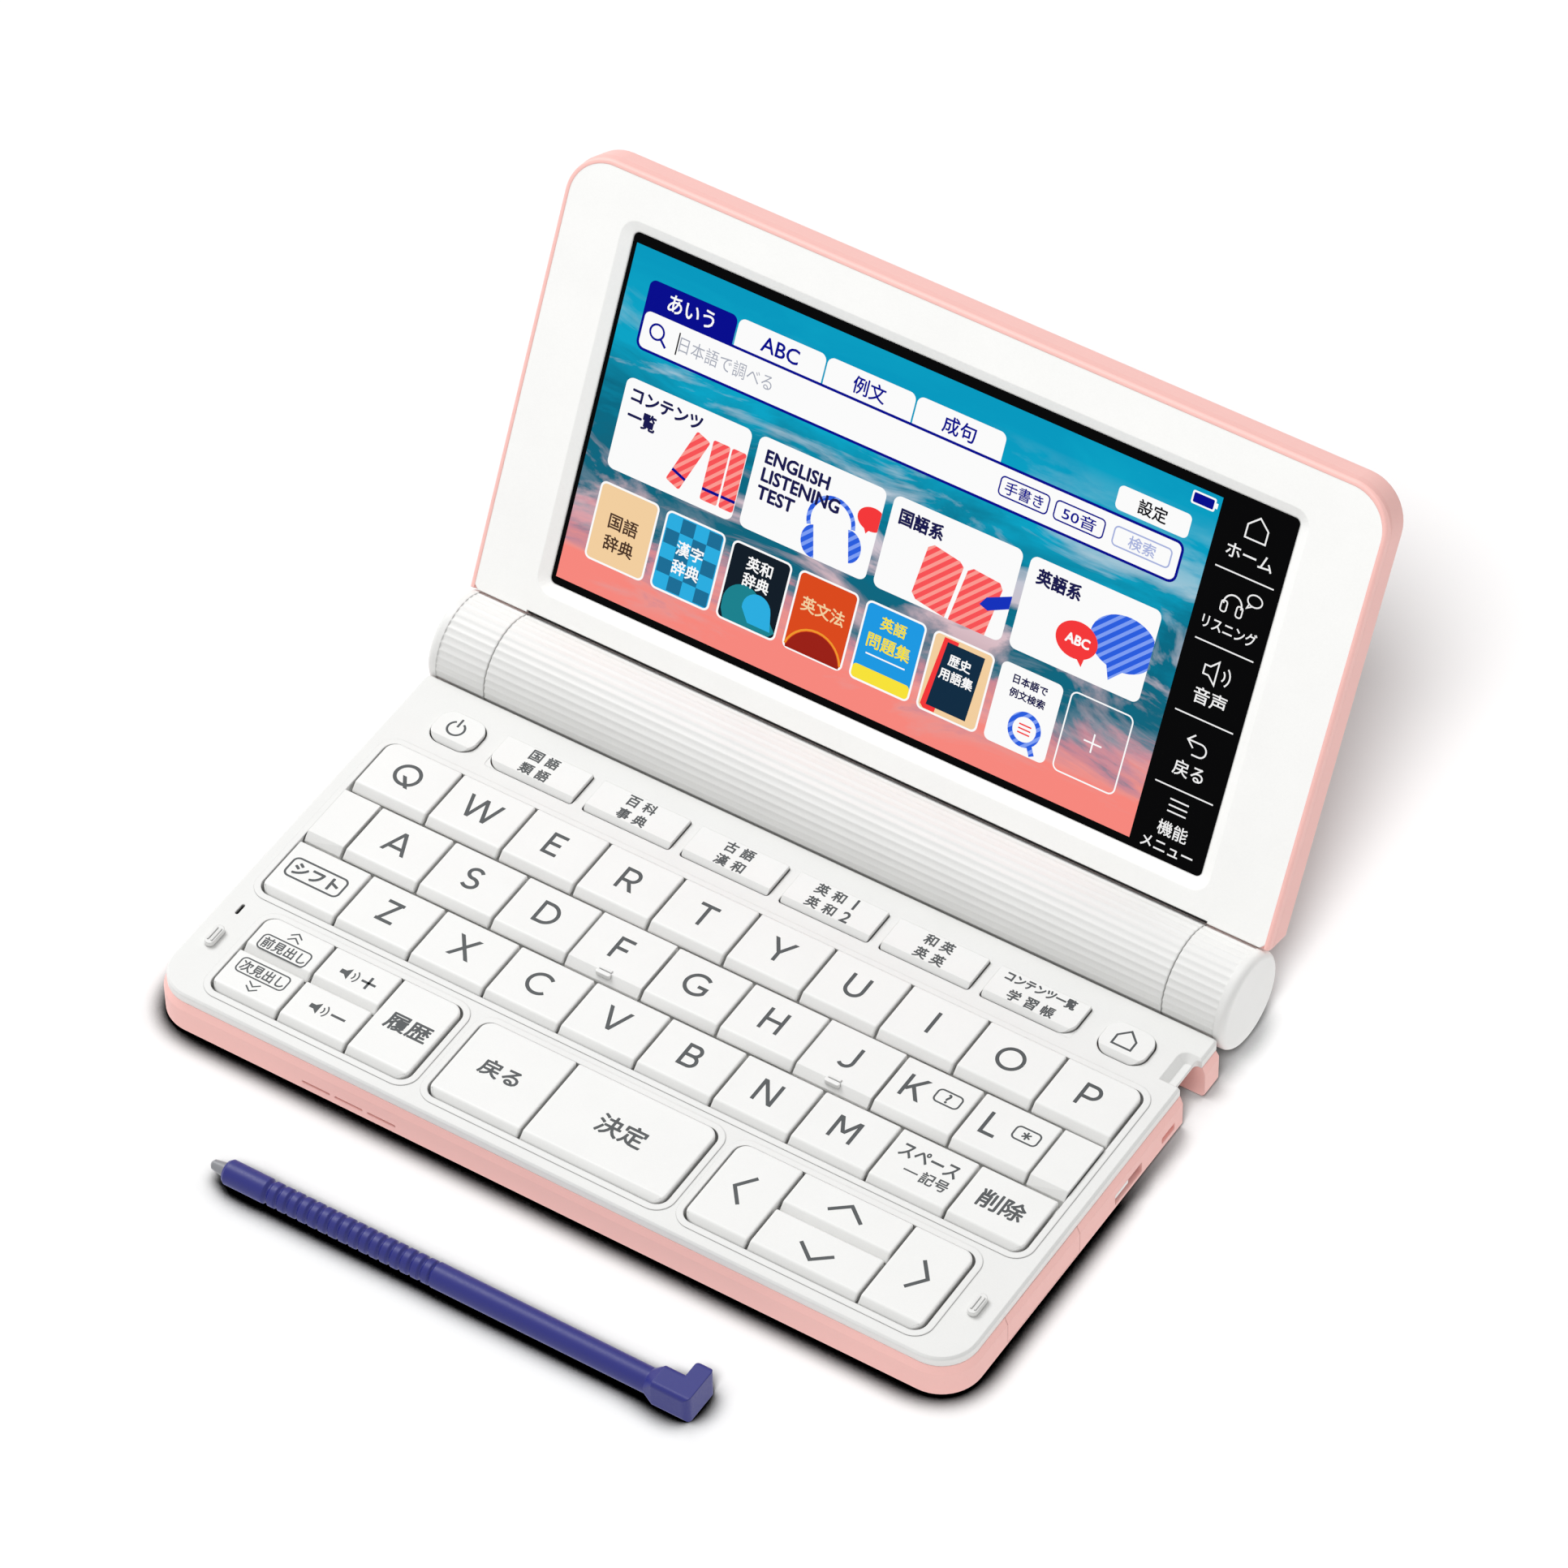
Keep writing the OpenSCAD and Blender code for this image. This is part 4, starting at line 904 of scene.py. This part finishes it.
def draw_head(art):
    """Draws the tabs, the search bar, the settings button and the battery sign."""
    for k, (text, x0, x1, wide, tall) in enumerate(TABS):
        shape = [(x0, 63.4), (x1, 63.4), *arc(x1 - 1.2, 68.5, 1.2, 0, 90, 6),
                 *arc(x0 + 1.2, 68.5, 1.2, 90, 180, 6)]
        art.fill(shape, "white" if k else "navy", 2)
        art.words(text, (x0 + x1) / 2, 67.2, tall, "navy" if k else "white", wide, 3, 0.05)
    art.fill(tablet(-56.1, 42.6, 57.85, 64.95, 1.5), "navy", 3)
    art.fill(tablet(-55.65, 42.15, 58.3, 64.5, 1.1), "white", 4)
    art.line(arc(-52.9, 61.7, 1.25, 0, 350, 28), 0.36, "navy", 5, closed=True)
    art.line([(-52, 60.8), (-50.9, 59.7)], 0.42, "navy", 5)
    art.fill(block(-49.05, -48.8, 59.4, 63.2), "black", 5)
    art.words("日本語で調べる", -40.0, 61.45, 2.7, "grey", 17.2, 5)
    for text, x0, x1, wide, ink in (("手書き", 10.3, 19.0, 6.8, "navy"),
                                    ("50音", 20.2, 28.95, 5.9, "navy"),
                                    ("検索", 30.7, 40.8, 4.7, "pale")):
        art.line(tablet(x0, x1, 59.9, 63.05, 0.7), 0.26, ink, 5, closed=True)
        art.words(text, (x0 + x1) / 2, 61.45, 2.15, ink, wide, 6, 0.03)
    art.fill(tablet(29.6, 42.5, 65.55, 69.6, 0.9), "white", 2)
    art.words("設定", 35.95, 67.55, 2.45, "black", 5.0, 3, 0.05)
    art.fill(tablet(41.45, 45.6, 71.45, 73.65, 0.35), "white", 2)
    art.fill(tablet(41.75, 45.3, 71.75, 73.35, 0.2), "navy", 3)
    art.fill(tablet(45.6, 46.0, 72.1, 73.0, 0.1), "white", 2)


def draw_cards(art):
    """Draws the four cards with their titles and signs."""
    for k, lines in enumerate(CARDS):
        x0 = -56.0 + CARD_PITCH * k
        art.fill(tablet(x0, x0 + 23.45, 37.15, 52.95, 1.3), "white", 2)
        for text, x, y, wide, tall in lines:
            art.words(text, x, y, tall, "word", wide, 6, 0.1)
    # books
    art.fill(turned(tablet(-1.42, 1.42, -5.1, 5.1, 0.4), -42.3, 43.75, -20), "red stripes", 3)
    art.line(turned([(-1.42, -3), (1.42, -3)], -42.3, 43.75, -20), 0.5, "navy", 4)
    for x0, x1 in ((-38.8, -35.65), (-35.3, -32.65)):
        art.fill(tablet(x0, x1, 38.55, 48.8, 0.4), "red stripes", 3)
        art.line([(x0, 40.4), (x1, 40.4)], 0.5, "navy", 4)
    # headphones
    art.line(turned(arc(0, 3.4, 4.0, -10, 190, 24), -14.9, 40.7, 15), 0.75, "blue stripes", 3)
    for side in (-1, 1):
        cup = [(side * (3.1 + a), b) for a, b in arc(0, 0, 2.3, -90, 90, 16, 1.18)]
        art.fill(cut(turned(cup, -14.9, 40.7, 15), low=37.15), "blue stripes", 4)
    bubble(art, -9.1, 47.3, 2.6, 0.76, [(-10.4, 46.0), (-9.6, 44.7), (-8.9, 45.8)], "red", 4,
           -7.7)
    # open book and pencil
    art.fill([(1.3, 47.0), (2.3, 47.7), (7.2, 46.9), (8.0, 46.2), (6.9, 37.15), (1.4, 38.0),
              (0.5, 38.9)], "red stripes", 3)
    art.fill([(8.8, 46.0), (9.7, 46.7), (14.6, 46.3), (15.3, 45.4), (14.2, 37.15),
              (7.6, 37.15)], "red stripes", 3)
    art.fill([(12.1, 41.7), (13.0, 43.2), (17.15, 45.1), (17.15, 42.9), (13.7, 41.2)],
             "blue", 4)
    # two speech bubbles
    bubble(art, 37.1, 45.35, 5.9, 0.77, [(34.9, 41.9), (36.1, 38.8), (38.6, 41.4)],
           "blue stripes", 3, 42.0)
    bubble(art, 29.4, 42.8, 3.7, 0.82, [(29.8, 40.3), (31.2, 38.9), (31.5, 40.9)], "red", 4)
    art.words("ABC", 29.6, 42.8, 1.55, "white", 4.2, 6, 0.08)


def draw_tiles(art):
    """Draws seven tiles with plain covers, and an empty one."""
    for k, (cover, ink, lines) in enumerate(TILES):
        x0 = -56.1 + TILE_PITCH * k
        x = x0 + 5.55
        art.fill(tablet(x0, x0 + 11.1, 21.2, 34.8, 1.1), "white", 2)
        art.fill(tablet(x0 + 0.35, x0 + 10.75, 21.55, 34.45, 0.8), cover, 3)
        for text, y, tall in lines:
            art.words(text, x, y, tall, ink, layer=6, bold=0.05)
        if k == 1:
            for i in range(4):
                for j in range(5):
                    if (i + j) % 2:
                        art.fill(tablet(x - 5.0 + 2.5 * i, x - 2.5 + 2.5 * i, 21.75 + 2.5 * j,
                                        24.25 + 2.5 * j, 0.01, 1), "steel", 4)
        elif k == 2:
            art.fill([(x - 4.9, 23.0), *arc(x - 1.4, 24.6, 3.6, 180, 40, 12), (x + 5.2, 22.6),
                      (x + 4.2, 21.55), (x - 4.2, 21.55)], "teal", 4)
            art.fill([*arc(x + 1.2, 25.0, 2.6, 10, 190, 12), (x + 0.2, 22.4), (x + 4.4, 22.4)],
                     "cyan", 5)
        elif k == 3:
            art.fill([(x - 5.0, 22.0), *arc(x, 20.6, 5.0, 170, 10, 14), (x + 5.0, 22.0)],
                     "wine", 4)
            art.line(arc(x, 20.6, 5.3, 165, 15, 14), 0.35, "amber", 5)
        elif k == 4:
            art.fill(tablet(x - 5.2, x + 5.2, 21.55, 23.9, 0.7), "yellow", 4)
            art.line([(x - 3.6, 26.2), (x + 3.6, 26.2)], 0.25, "white", 4)
        elif k == 5:
            art.fill([(x - 4.9, 22.2), (x - 4.2, 21.6), (x - 2.2, 21.6), (x - 1.0, 34.2),
                      (x - 3.6, 34.2)], "red", 4)
            art.fill([(x - 3.9, 22.4), (x + 3.3, 22.4), (x + 3.9, 33.6), (x - 2.9, 33.6)],
                     "ink", 5)
        elif k == 6:
            art.line(arc(x + 0.9, 25.3, 2.5, 0, 354, 32), 0.85, "blue stripes", 4, closed=True)
            art.line([(x + 2.3, 23.2), (x + 3.2, 21.6)], 0.95, "blue stripes", 4)
            for y in (24.6, 25.3, 26.0):
                art.line([(x - 0.2, y), (x + 2.0, y)], 0.25, "red", 4)
    art.line(tablet(31.0, 42.05, 21.3, 34.8, 1.1), 0.26, "white", 2, closed=True)
    art.line([(34.9, 27.95), (38.1, 27.95)], 0.28, "white", 2)
    art.line([(36.5, 26.35), (36.5, 29.55)], 0.28, "white", 3)


class DICT_OT_picture(bpy.types.Operator):
    """Shows the home picture on the display"""

    bl_idname = "dictionary.picture"
    bl_label = "Display picture"

    def execute(self, context):
        look = context.scene.dictionary_display
        inks = {name: lit("backlit_" + name, linear(code), look.glow)
                for name, code in BACKLIT.items()}
        inks["navy"] = lit("backlit_navy", look.navy, look.glow)
        inks["sky"] = lit("backlit_sky", None, look.glow, evening(look))
        for name, dark, light in (("red", "#FC5457", "#FF9C94"), ("blue", "#2A5FE2", "#7F9FF6")):
            inks[name + " stripes"] = lit("backlit_%s_stripes" % name, None, look.glow,
                                          stripes(dark, light))

        art = Print()
        art.fill(block(-60, 46.5, 16.05, 74.3), "sky", 0)
        draw_head(art)
        draw_cards(art)
        draw_tiles(art)
        art.piece("display_picture", LID, LIT_TOP, "lid", "window_dark", inks)
        return {"FINISHED"}


class DICT_OT_strip(bpy.types.Operator):
    """Prints the five signs on the touch strip"""

    bl_idname = "dictionary.strip"
    bl_label = "Touch strip"

    def execute(self, context):
        look = context.scene.dictionary_display
        # the strip's signs are white print on the black, given a glow as painted light
        inks = lit("glowing_sign_painted_light", linear("#F4F4F4"), look.glow)
        art = Print()
        for y in (63.7, 51.4, 39.1, 26.8):
            art.line([(48.1, y), (58.4, y)], 0.24)
        for text, x, y, tall, wide in (
                ("ホーム", 53.2, 67.05, 2.3, 8.1), ("リスニング", 53.2, 54.6, 2.2, 9.4),
                ("音声", 53.2, 42.8, 2.7, 5.7), ("戻る", 53.0, 30.35, 2.7, 5.3),
                ("機能", 53.15, 19.95, 2.5, 5.2), ("メニュー", 53.0, 16.85, 2.0, 9.1)):
            art.words(text, x, y, tall, width=wide, bold=0.03)
        art.line([(51.5, 69.85), (55.05, 69.85), (55.05, 72.0), (53.28, 73.6), (51.5, 72.0)], 0.27,
                 closed=True)
        art.line(arc(52.6, 58.7, 1.55, -10, 190, 20), 0.27)
        for x in (51.25, 53.95):
            art.line(tablet(x - 0.5, x + 0.5, 57.1, 58.9, 0.4), 0.24, closed=True)
        art.line(arc(56.0, 60.7, 1.25, 0, 350, 24, 0.78), 0.24, closed=True)
        art.line([(55.2, 59.95), (54.95, 59.2), (55.75, 59.72)], 0.22)
        art.line([(50.95, 46.4), (51.9, 46.4), (53.15, 45.2), (53.15, 49.1), (51.9, 47.9),
                  (50.95, 47.9)], 0.26, closed=True)
        for r in (1.15, 2.05):
            art.line(arc(53.4, 47.15, r, -45, 45, 10), 0.26)
        art.line([(51.6, 35.3), (53.9, 35.3), *arc(53.9, 34.2, 1.1, 90, -90, 12), (52.7, 33.1)],
                 0.27)
        art.line([(52.65, 36.4), (51.5, 35.3), (52.65, 34.2)], 0.27)
        for y in (24.93, 23.9, 22.9):
            art.line([(51.35, y), (54.65, y)], 0.26)
        art.piece("touch_strip_signs", LID, LIT_TOP, "lid", "window_dark", inks)
        return {"FINISHED"}


# ---------- small parts ----------


class DICT_OT_gap_shade(bpy.types.Operator):
    """Lays a black strip in the gap between lid and barrel as painted shade, and black felt in the
    microphone hole
    """

    bl_idname = "dictionary.seal"
    bl_label = "Felt and painted gap shade"

    def execute(self, context):
        # black felt, glued in, fibrous; the strip in the gap between lid and barrel is painted
        # shade, a black sheet where that gap lies in shade
        black = moulded("felt_and_painted_shade_black", linear("#0B0B0C"), 0.2, 0.05, 0.9, 0.02)
        # painted shade: a black strip where the gap between lid and barrel lies in shade
        slab("gap_painted_shade", block(-62.9, 62.9, 8.49, 8.94), LID, -1.3, "lid", "foot_rubber", black,
             1.7)
        slab("microphone_felt", block(-70.08, -69.52, 18.75, 20.75), KEYBOARD, 7.7, "base",
             "foot_rubber", black, 0.5)
        return {"FINISHED"}


class DICT_OT_corners(bpy.types.Operator):
    """Rounds the outer corners of the shortcut keys' opening"""

    bl_idname = "dictionary.corners"
    bl_label = "Opening corners"

    def execute(self, context):
        look = context.scene.dictionary_case
        white = moulded("abs_eroded_corner", look.white, look.grain, 0.014, 0.48, 0.1)
        for name, x, side in (("left", -54.44, 1), ("right", 53.66, -1)):
            rim = [(-0.27, -0.27), *arc(2.4, 2.4, 2.62, 270, 180, 12)]
            slab("opening_corner_" + name, [(x + side * a, 65.5 + b) for a, b in rim][::side],
                 KEYBOARD, 8.13, "base", "shell_white", white, 1.2)
        return {"FINISHED"}


class DICT_OT_screws(bpy.types.Operator):
    """Puts the four screws in the underside"""

    bl_idname = "dictionary.screws"
    bl_label = "Screws"

    def execute(self, context):
        # steel, cold headed, black oxide
        black = metal("steel_screw_oxide", linear("#3A3A3D"), 0.38)
        for k, (x, y) in enumerate(((-67.5, 30), (67.5, 6), (-30, 4.5), (30, 4.5))):
            mesh = bpy.data.meshes.new("case_screw")
            shape = bmesh.new()
            bmesh.ops.create_cone(shape, cap_ends=True, segments=24, radius1=1.15 * MM,
                                  radius2=1.45 * MM, depth=0.32 * MM)
            lowest = min(shape.faces, key=lambda f: f.calc_center_median().z)
            bmesh.ops.inset_individual(shape, faces=[lowest], thickness=0.7 * MM)
            pushed = bmesh.ops.extrude_discrete_faces(shape, faces=[lowest])["faces"][0]
            bmesh.ops.translate(shape, verts=pushed.verts, vec=(0, 0, 0.18 * MM))
            shape.to_mesh(mesh)
            shape.free()
            mesh.materials.append(black)
            screw = bpy.data.objects.new("case_screw_%d" % (k + 1), mesh)
            context.scene.collection.objects.link(screw)
            screw.matrix_world = KEYBOARD @ Matrix.Translation((x * MM, y * MM, -0.155 * MM))
            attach(screw, "base")
        return {"FINISHED"}


# ---------- stage ----------


def lamp(name, kind, power, at, towards, receivers):
    """A lamp at a place that shines towards another, on its receivers only; returns the lamp and
    the collection of its receivers."""
    light = bpy.data.lights.new(name, kind)
    light.energy = power
    holder = bpy.data.objects.new(name, light)
    holder.location = at
    holder.rotation_euler = (Vector(towards) - Vector(at)).to_track_quat("-Z", "Y").to_euler()
    bpy.context.scene.collection.objects.link(holder)
    group = bpy.data.collections.new("lit_by_" + name)
    for thing in receivers:
        group.objects.link(thing)
    holder.light_linking.receiver_collection = group
    return light, group


def laminate():
    """The table's white laminate, matt, with a painted contact shadow: for the camera its colour
    darkens close to the case on the side away from the lamp, most in front of the case."""
    material, tree, where = start_material("laminate_white")
    # painted shadow: ambient occlusion round a normal tilted towards the lamp's side darkens the
    # colour near the case
    near = add(tree, "AmbientOcclusion", {"Distance": 0.0056, "Normal": (-0.6, 0.45, 0.66)},
               samples=16)
    # the painted shadow is darkest in front of the case and lighter towards the back
    y = add(tree, "SeparateXYZ", {0: where}).outputs["Y"]
    least = add(tree, "MapRange",
                {"Value": y, "From Min": -0.007, "From Max": 0.013, "To Max": 0.42})
    painted_contact_shadow = add(tree, "MapRange",
                  {"Value": near.outputs["AO"], "To Min": least, "From Min": 0.55,
                   "From Max": 0.95}, interpolation_type="SMOOTHSTEP")
    # the painted shadow shows to the camera only; all other rays see the plain grey
    path = add(tree, "LightPath")
    unseen = add(tree, "Math", {0: 1.0, 1: path.outputs["Is Camera Ray"]}, operation="SUBTRACT")
    bright = add(tree, "Math", {0: painted_contact_shadow, 1: unseen}, operation="MAXIMUM")
    tint = add(tree, "Mix", {0: bright, 6: (0, 0, 0, 1), 7: (0.62, 0.62, 0.62, 1)},
               data_type="RGBA")
    body = add(tree, "BsdfPrincipled",
               {"Base Color": tint.outputs[2], "Roughness": 1.0, "Specular IOR Level": 0.0})
    add(tree, "OutputMaterial", {0: body})
    return material


class DICT_OT_stage(bpy.types.Operator):
    """Sets up the table, the lamps and the camera"""

    bl_idname = "dictionary.stage"
    bl_label = "Stage"

    def execute(self, context):
        scene = context.scene
        stage = scene.dictionary_stage

        camera = bpy.data.objects.new("camera", bpy.data.cameras.new("camera"))
        camera.data.lens = stage.lens
        camera.data.sensor_width = 36
        camera.data.clip_start = 0.05
        camera.location = stage.camera_at
        camera.rotation_euler = stage.camera_turn
        scene.collection.objects.link(camera)
        scene.camera = camera

        world = bpy.data.worlds.new("room")
        world.use_nodes = True
        tree = world.node_tree
        tree.nodes.clear()
        path = add(tree, "LightPath")
        through = add(tree, "Math", {0: path.outputs["Is Glossy Ray"],
                                     1: path.outputs["Is Transmission Ray"]}, operation="MAXIMUM")
        seen = add(tree, "Math", {0: path.outputs["Is Camera Ray"], 1: through},
                   operation="MAXIMUM")
        room = add(tree, "Background", {"Color": (1, 1, 1, 1), "Strength": stage.sky})
        white = add(tree, "Background", {"Color": (1, 1, 1, 1), "Strength": 1.0})
        both = add(tree, "MixShader", {0: seen, 1: room, 2: white})
        add(tree, "OutputWorld", {0: both})
        scene.world = world

        floor = bpy.data.meshes.new("table")
        floor.from_pydata([(-3, -3, 0), (3, -3, 0), (3, 3, 0), (-3, 3, 0)], [], [(0, 1, 2, 3)])
        floor.materials.append(laminate())
        table = bpy.data.objects.new("table", floor)
        scene.collection.objects.link(table)

        # a softbox over the left shoulder, which the table doesn't see
        box, others = lamp("softbox", "AREA", stage.lamp, (-1.24, 0.34, 1.7), (0, 0.02, 0), [table])
        box.size = 1.0
        others.collection_objects[0].light_linking.link_state = "EXCLUDE"
        # a smaller lamp in front, for the display frame and the case
        faces = [NODES[node] for node in ("lid_bezel", "lower_case", "card_cover")]
        front, _ = lamp("front_light", "AREA", stage.fill, (0.15, -0.45, 1.25), (0, 0.05, 0.05),
                        [bpy.data.objects["lid_rim"], *faces])
        front.size = 0.8
        # the table has its own wide light beside the camera, so the lid's shadow lies behind it
        sun, _ = lamp("table_light", "SUN", stage.table, (0, 0, 0), (-0.198, 0.523, -0.829),
                      [table])
        sun.angle = math.radians(22)

        scene.view_settings.view_transform = "Standard"
        return {"FINISHED"}


# ---------- panel and registration ----------


class DICT_PT_panel(bpy.types.Panel):
    """Lists the pieces and the stage"""

    bl_idname = "DICT_PT_panel"
    bl_label = "Electronic dictionary"
    bl_space_type = "VIEW_3D"
    bl_region_type = "UI"
    bl_category = "Dictionary"

    def draw(self, context):
        for operator in OPERATORS:
            self.layout.operator(operator.bl_idname)
        for name in SETTINGS:
            group = getattr(context.scene, name)
            box = self.layout.box()
            for key in group.__annotations__:
                box.prop(group, key)


SETTINGS = {
    "dictionary_case": CaseFinish,
    "dictionary_keys": KeyFinish,
    "dictionary_pen": PenFinish,
    "dictionary_display": DisplayPicture,
    "dictionary_stage": StageSettings,
}
OPERATORS = (
    DICT_OT_case,
    DICT_OT_shell,
    DICT_OT_barrel,
    DICT_OT_keys,
    DICT_OT_inside,
    DICT_OT_pen,
    DICT_OT_legends,
    DICT_OT_window,
    DICT_OT_picture,
    DICT_OT_strip,
    DICT_OT_gap_shade,
    DICT_OT_corners,
    DICT_OT_screws,
    DICT_OT_stage,
)


def register():
    for kind in (*SETTINGS.values(), *OPERATORS, DICT_PT_panel):
        bpy.utils.register_class(kind)
    for name, kind in SETTINGS.items():
        setattr(bpy.types.Scene, name, PointerProperty(type=kind))


def unregister():
    for name in SETTINGS:
        delattr(bpy.types.Scene, name)
    for kind in reversed((*SETTINGS.values(), *OPERATORS, DICT_PT_panel)):
        bpy.utils.unregister_class(kind)


def main():
    """Makes every piece."""
    register()
    for operator in OPERATORS:
        group, name = operator.bl_idname.split(".")
        getattr(getattr(bpy.ops, group), name)()
    bpy.context.view_layer.update()


if __name__ == "__main__":
    main()
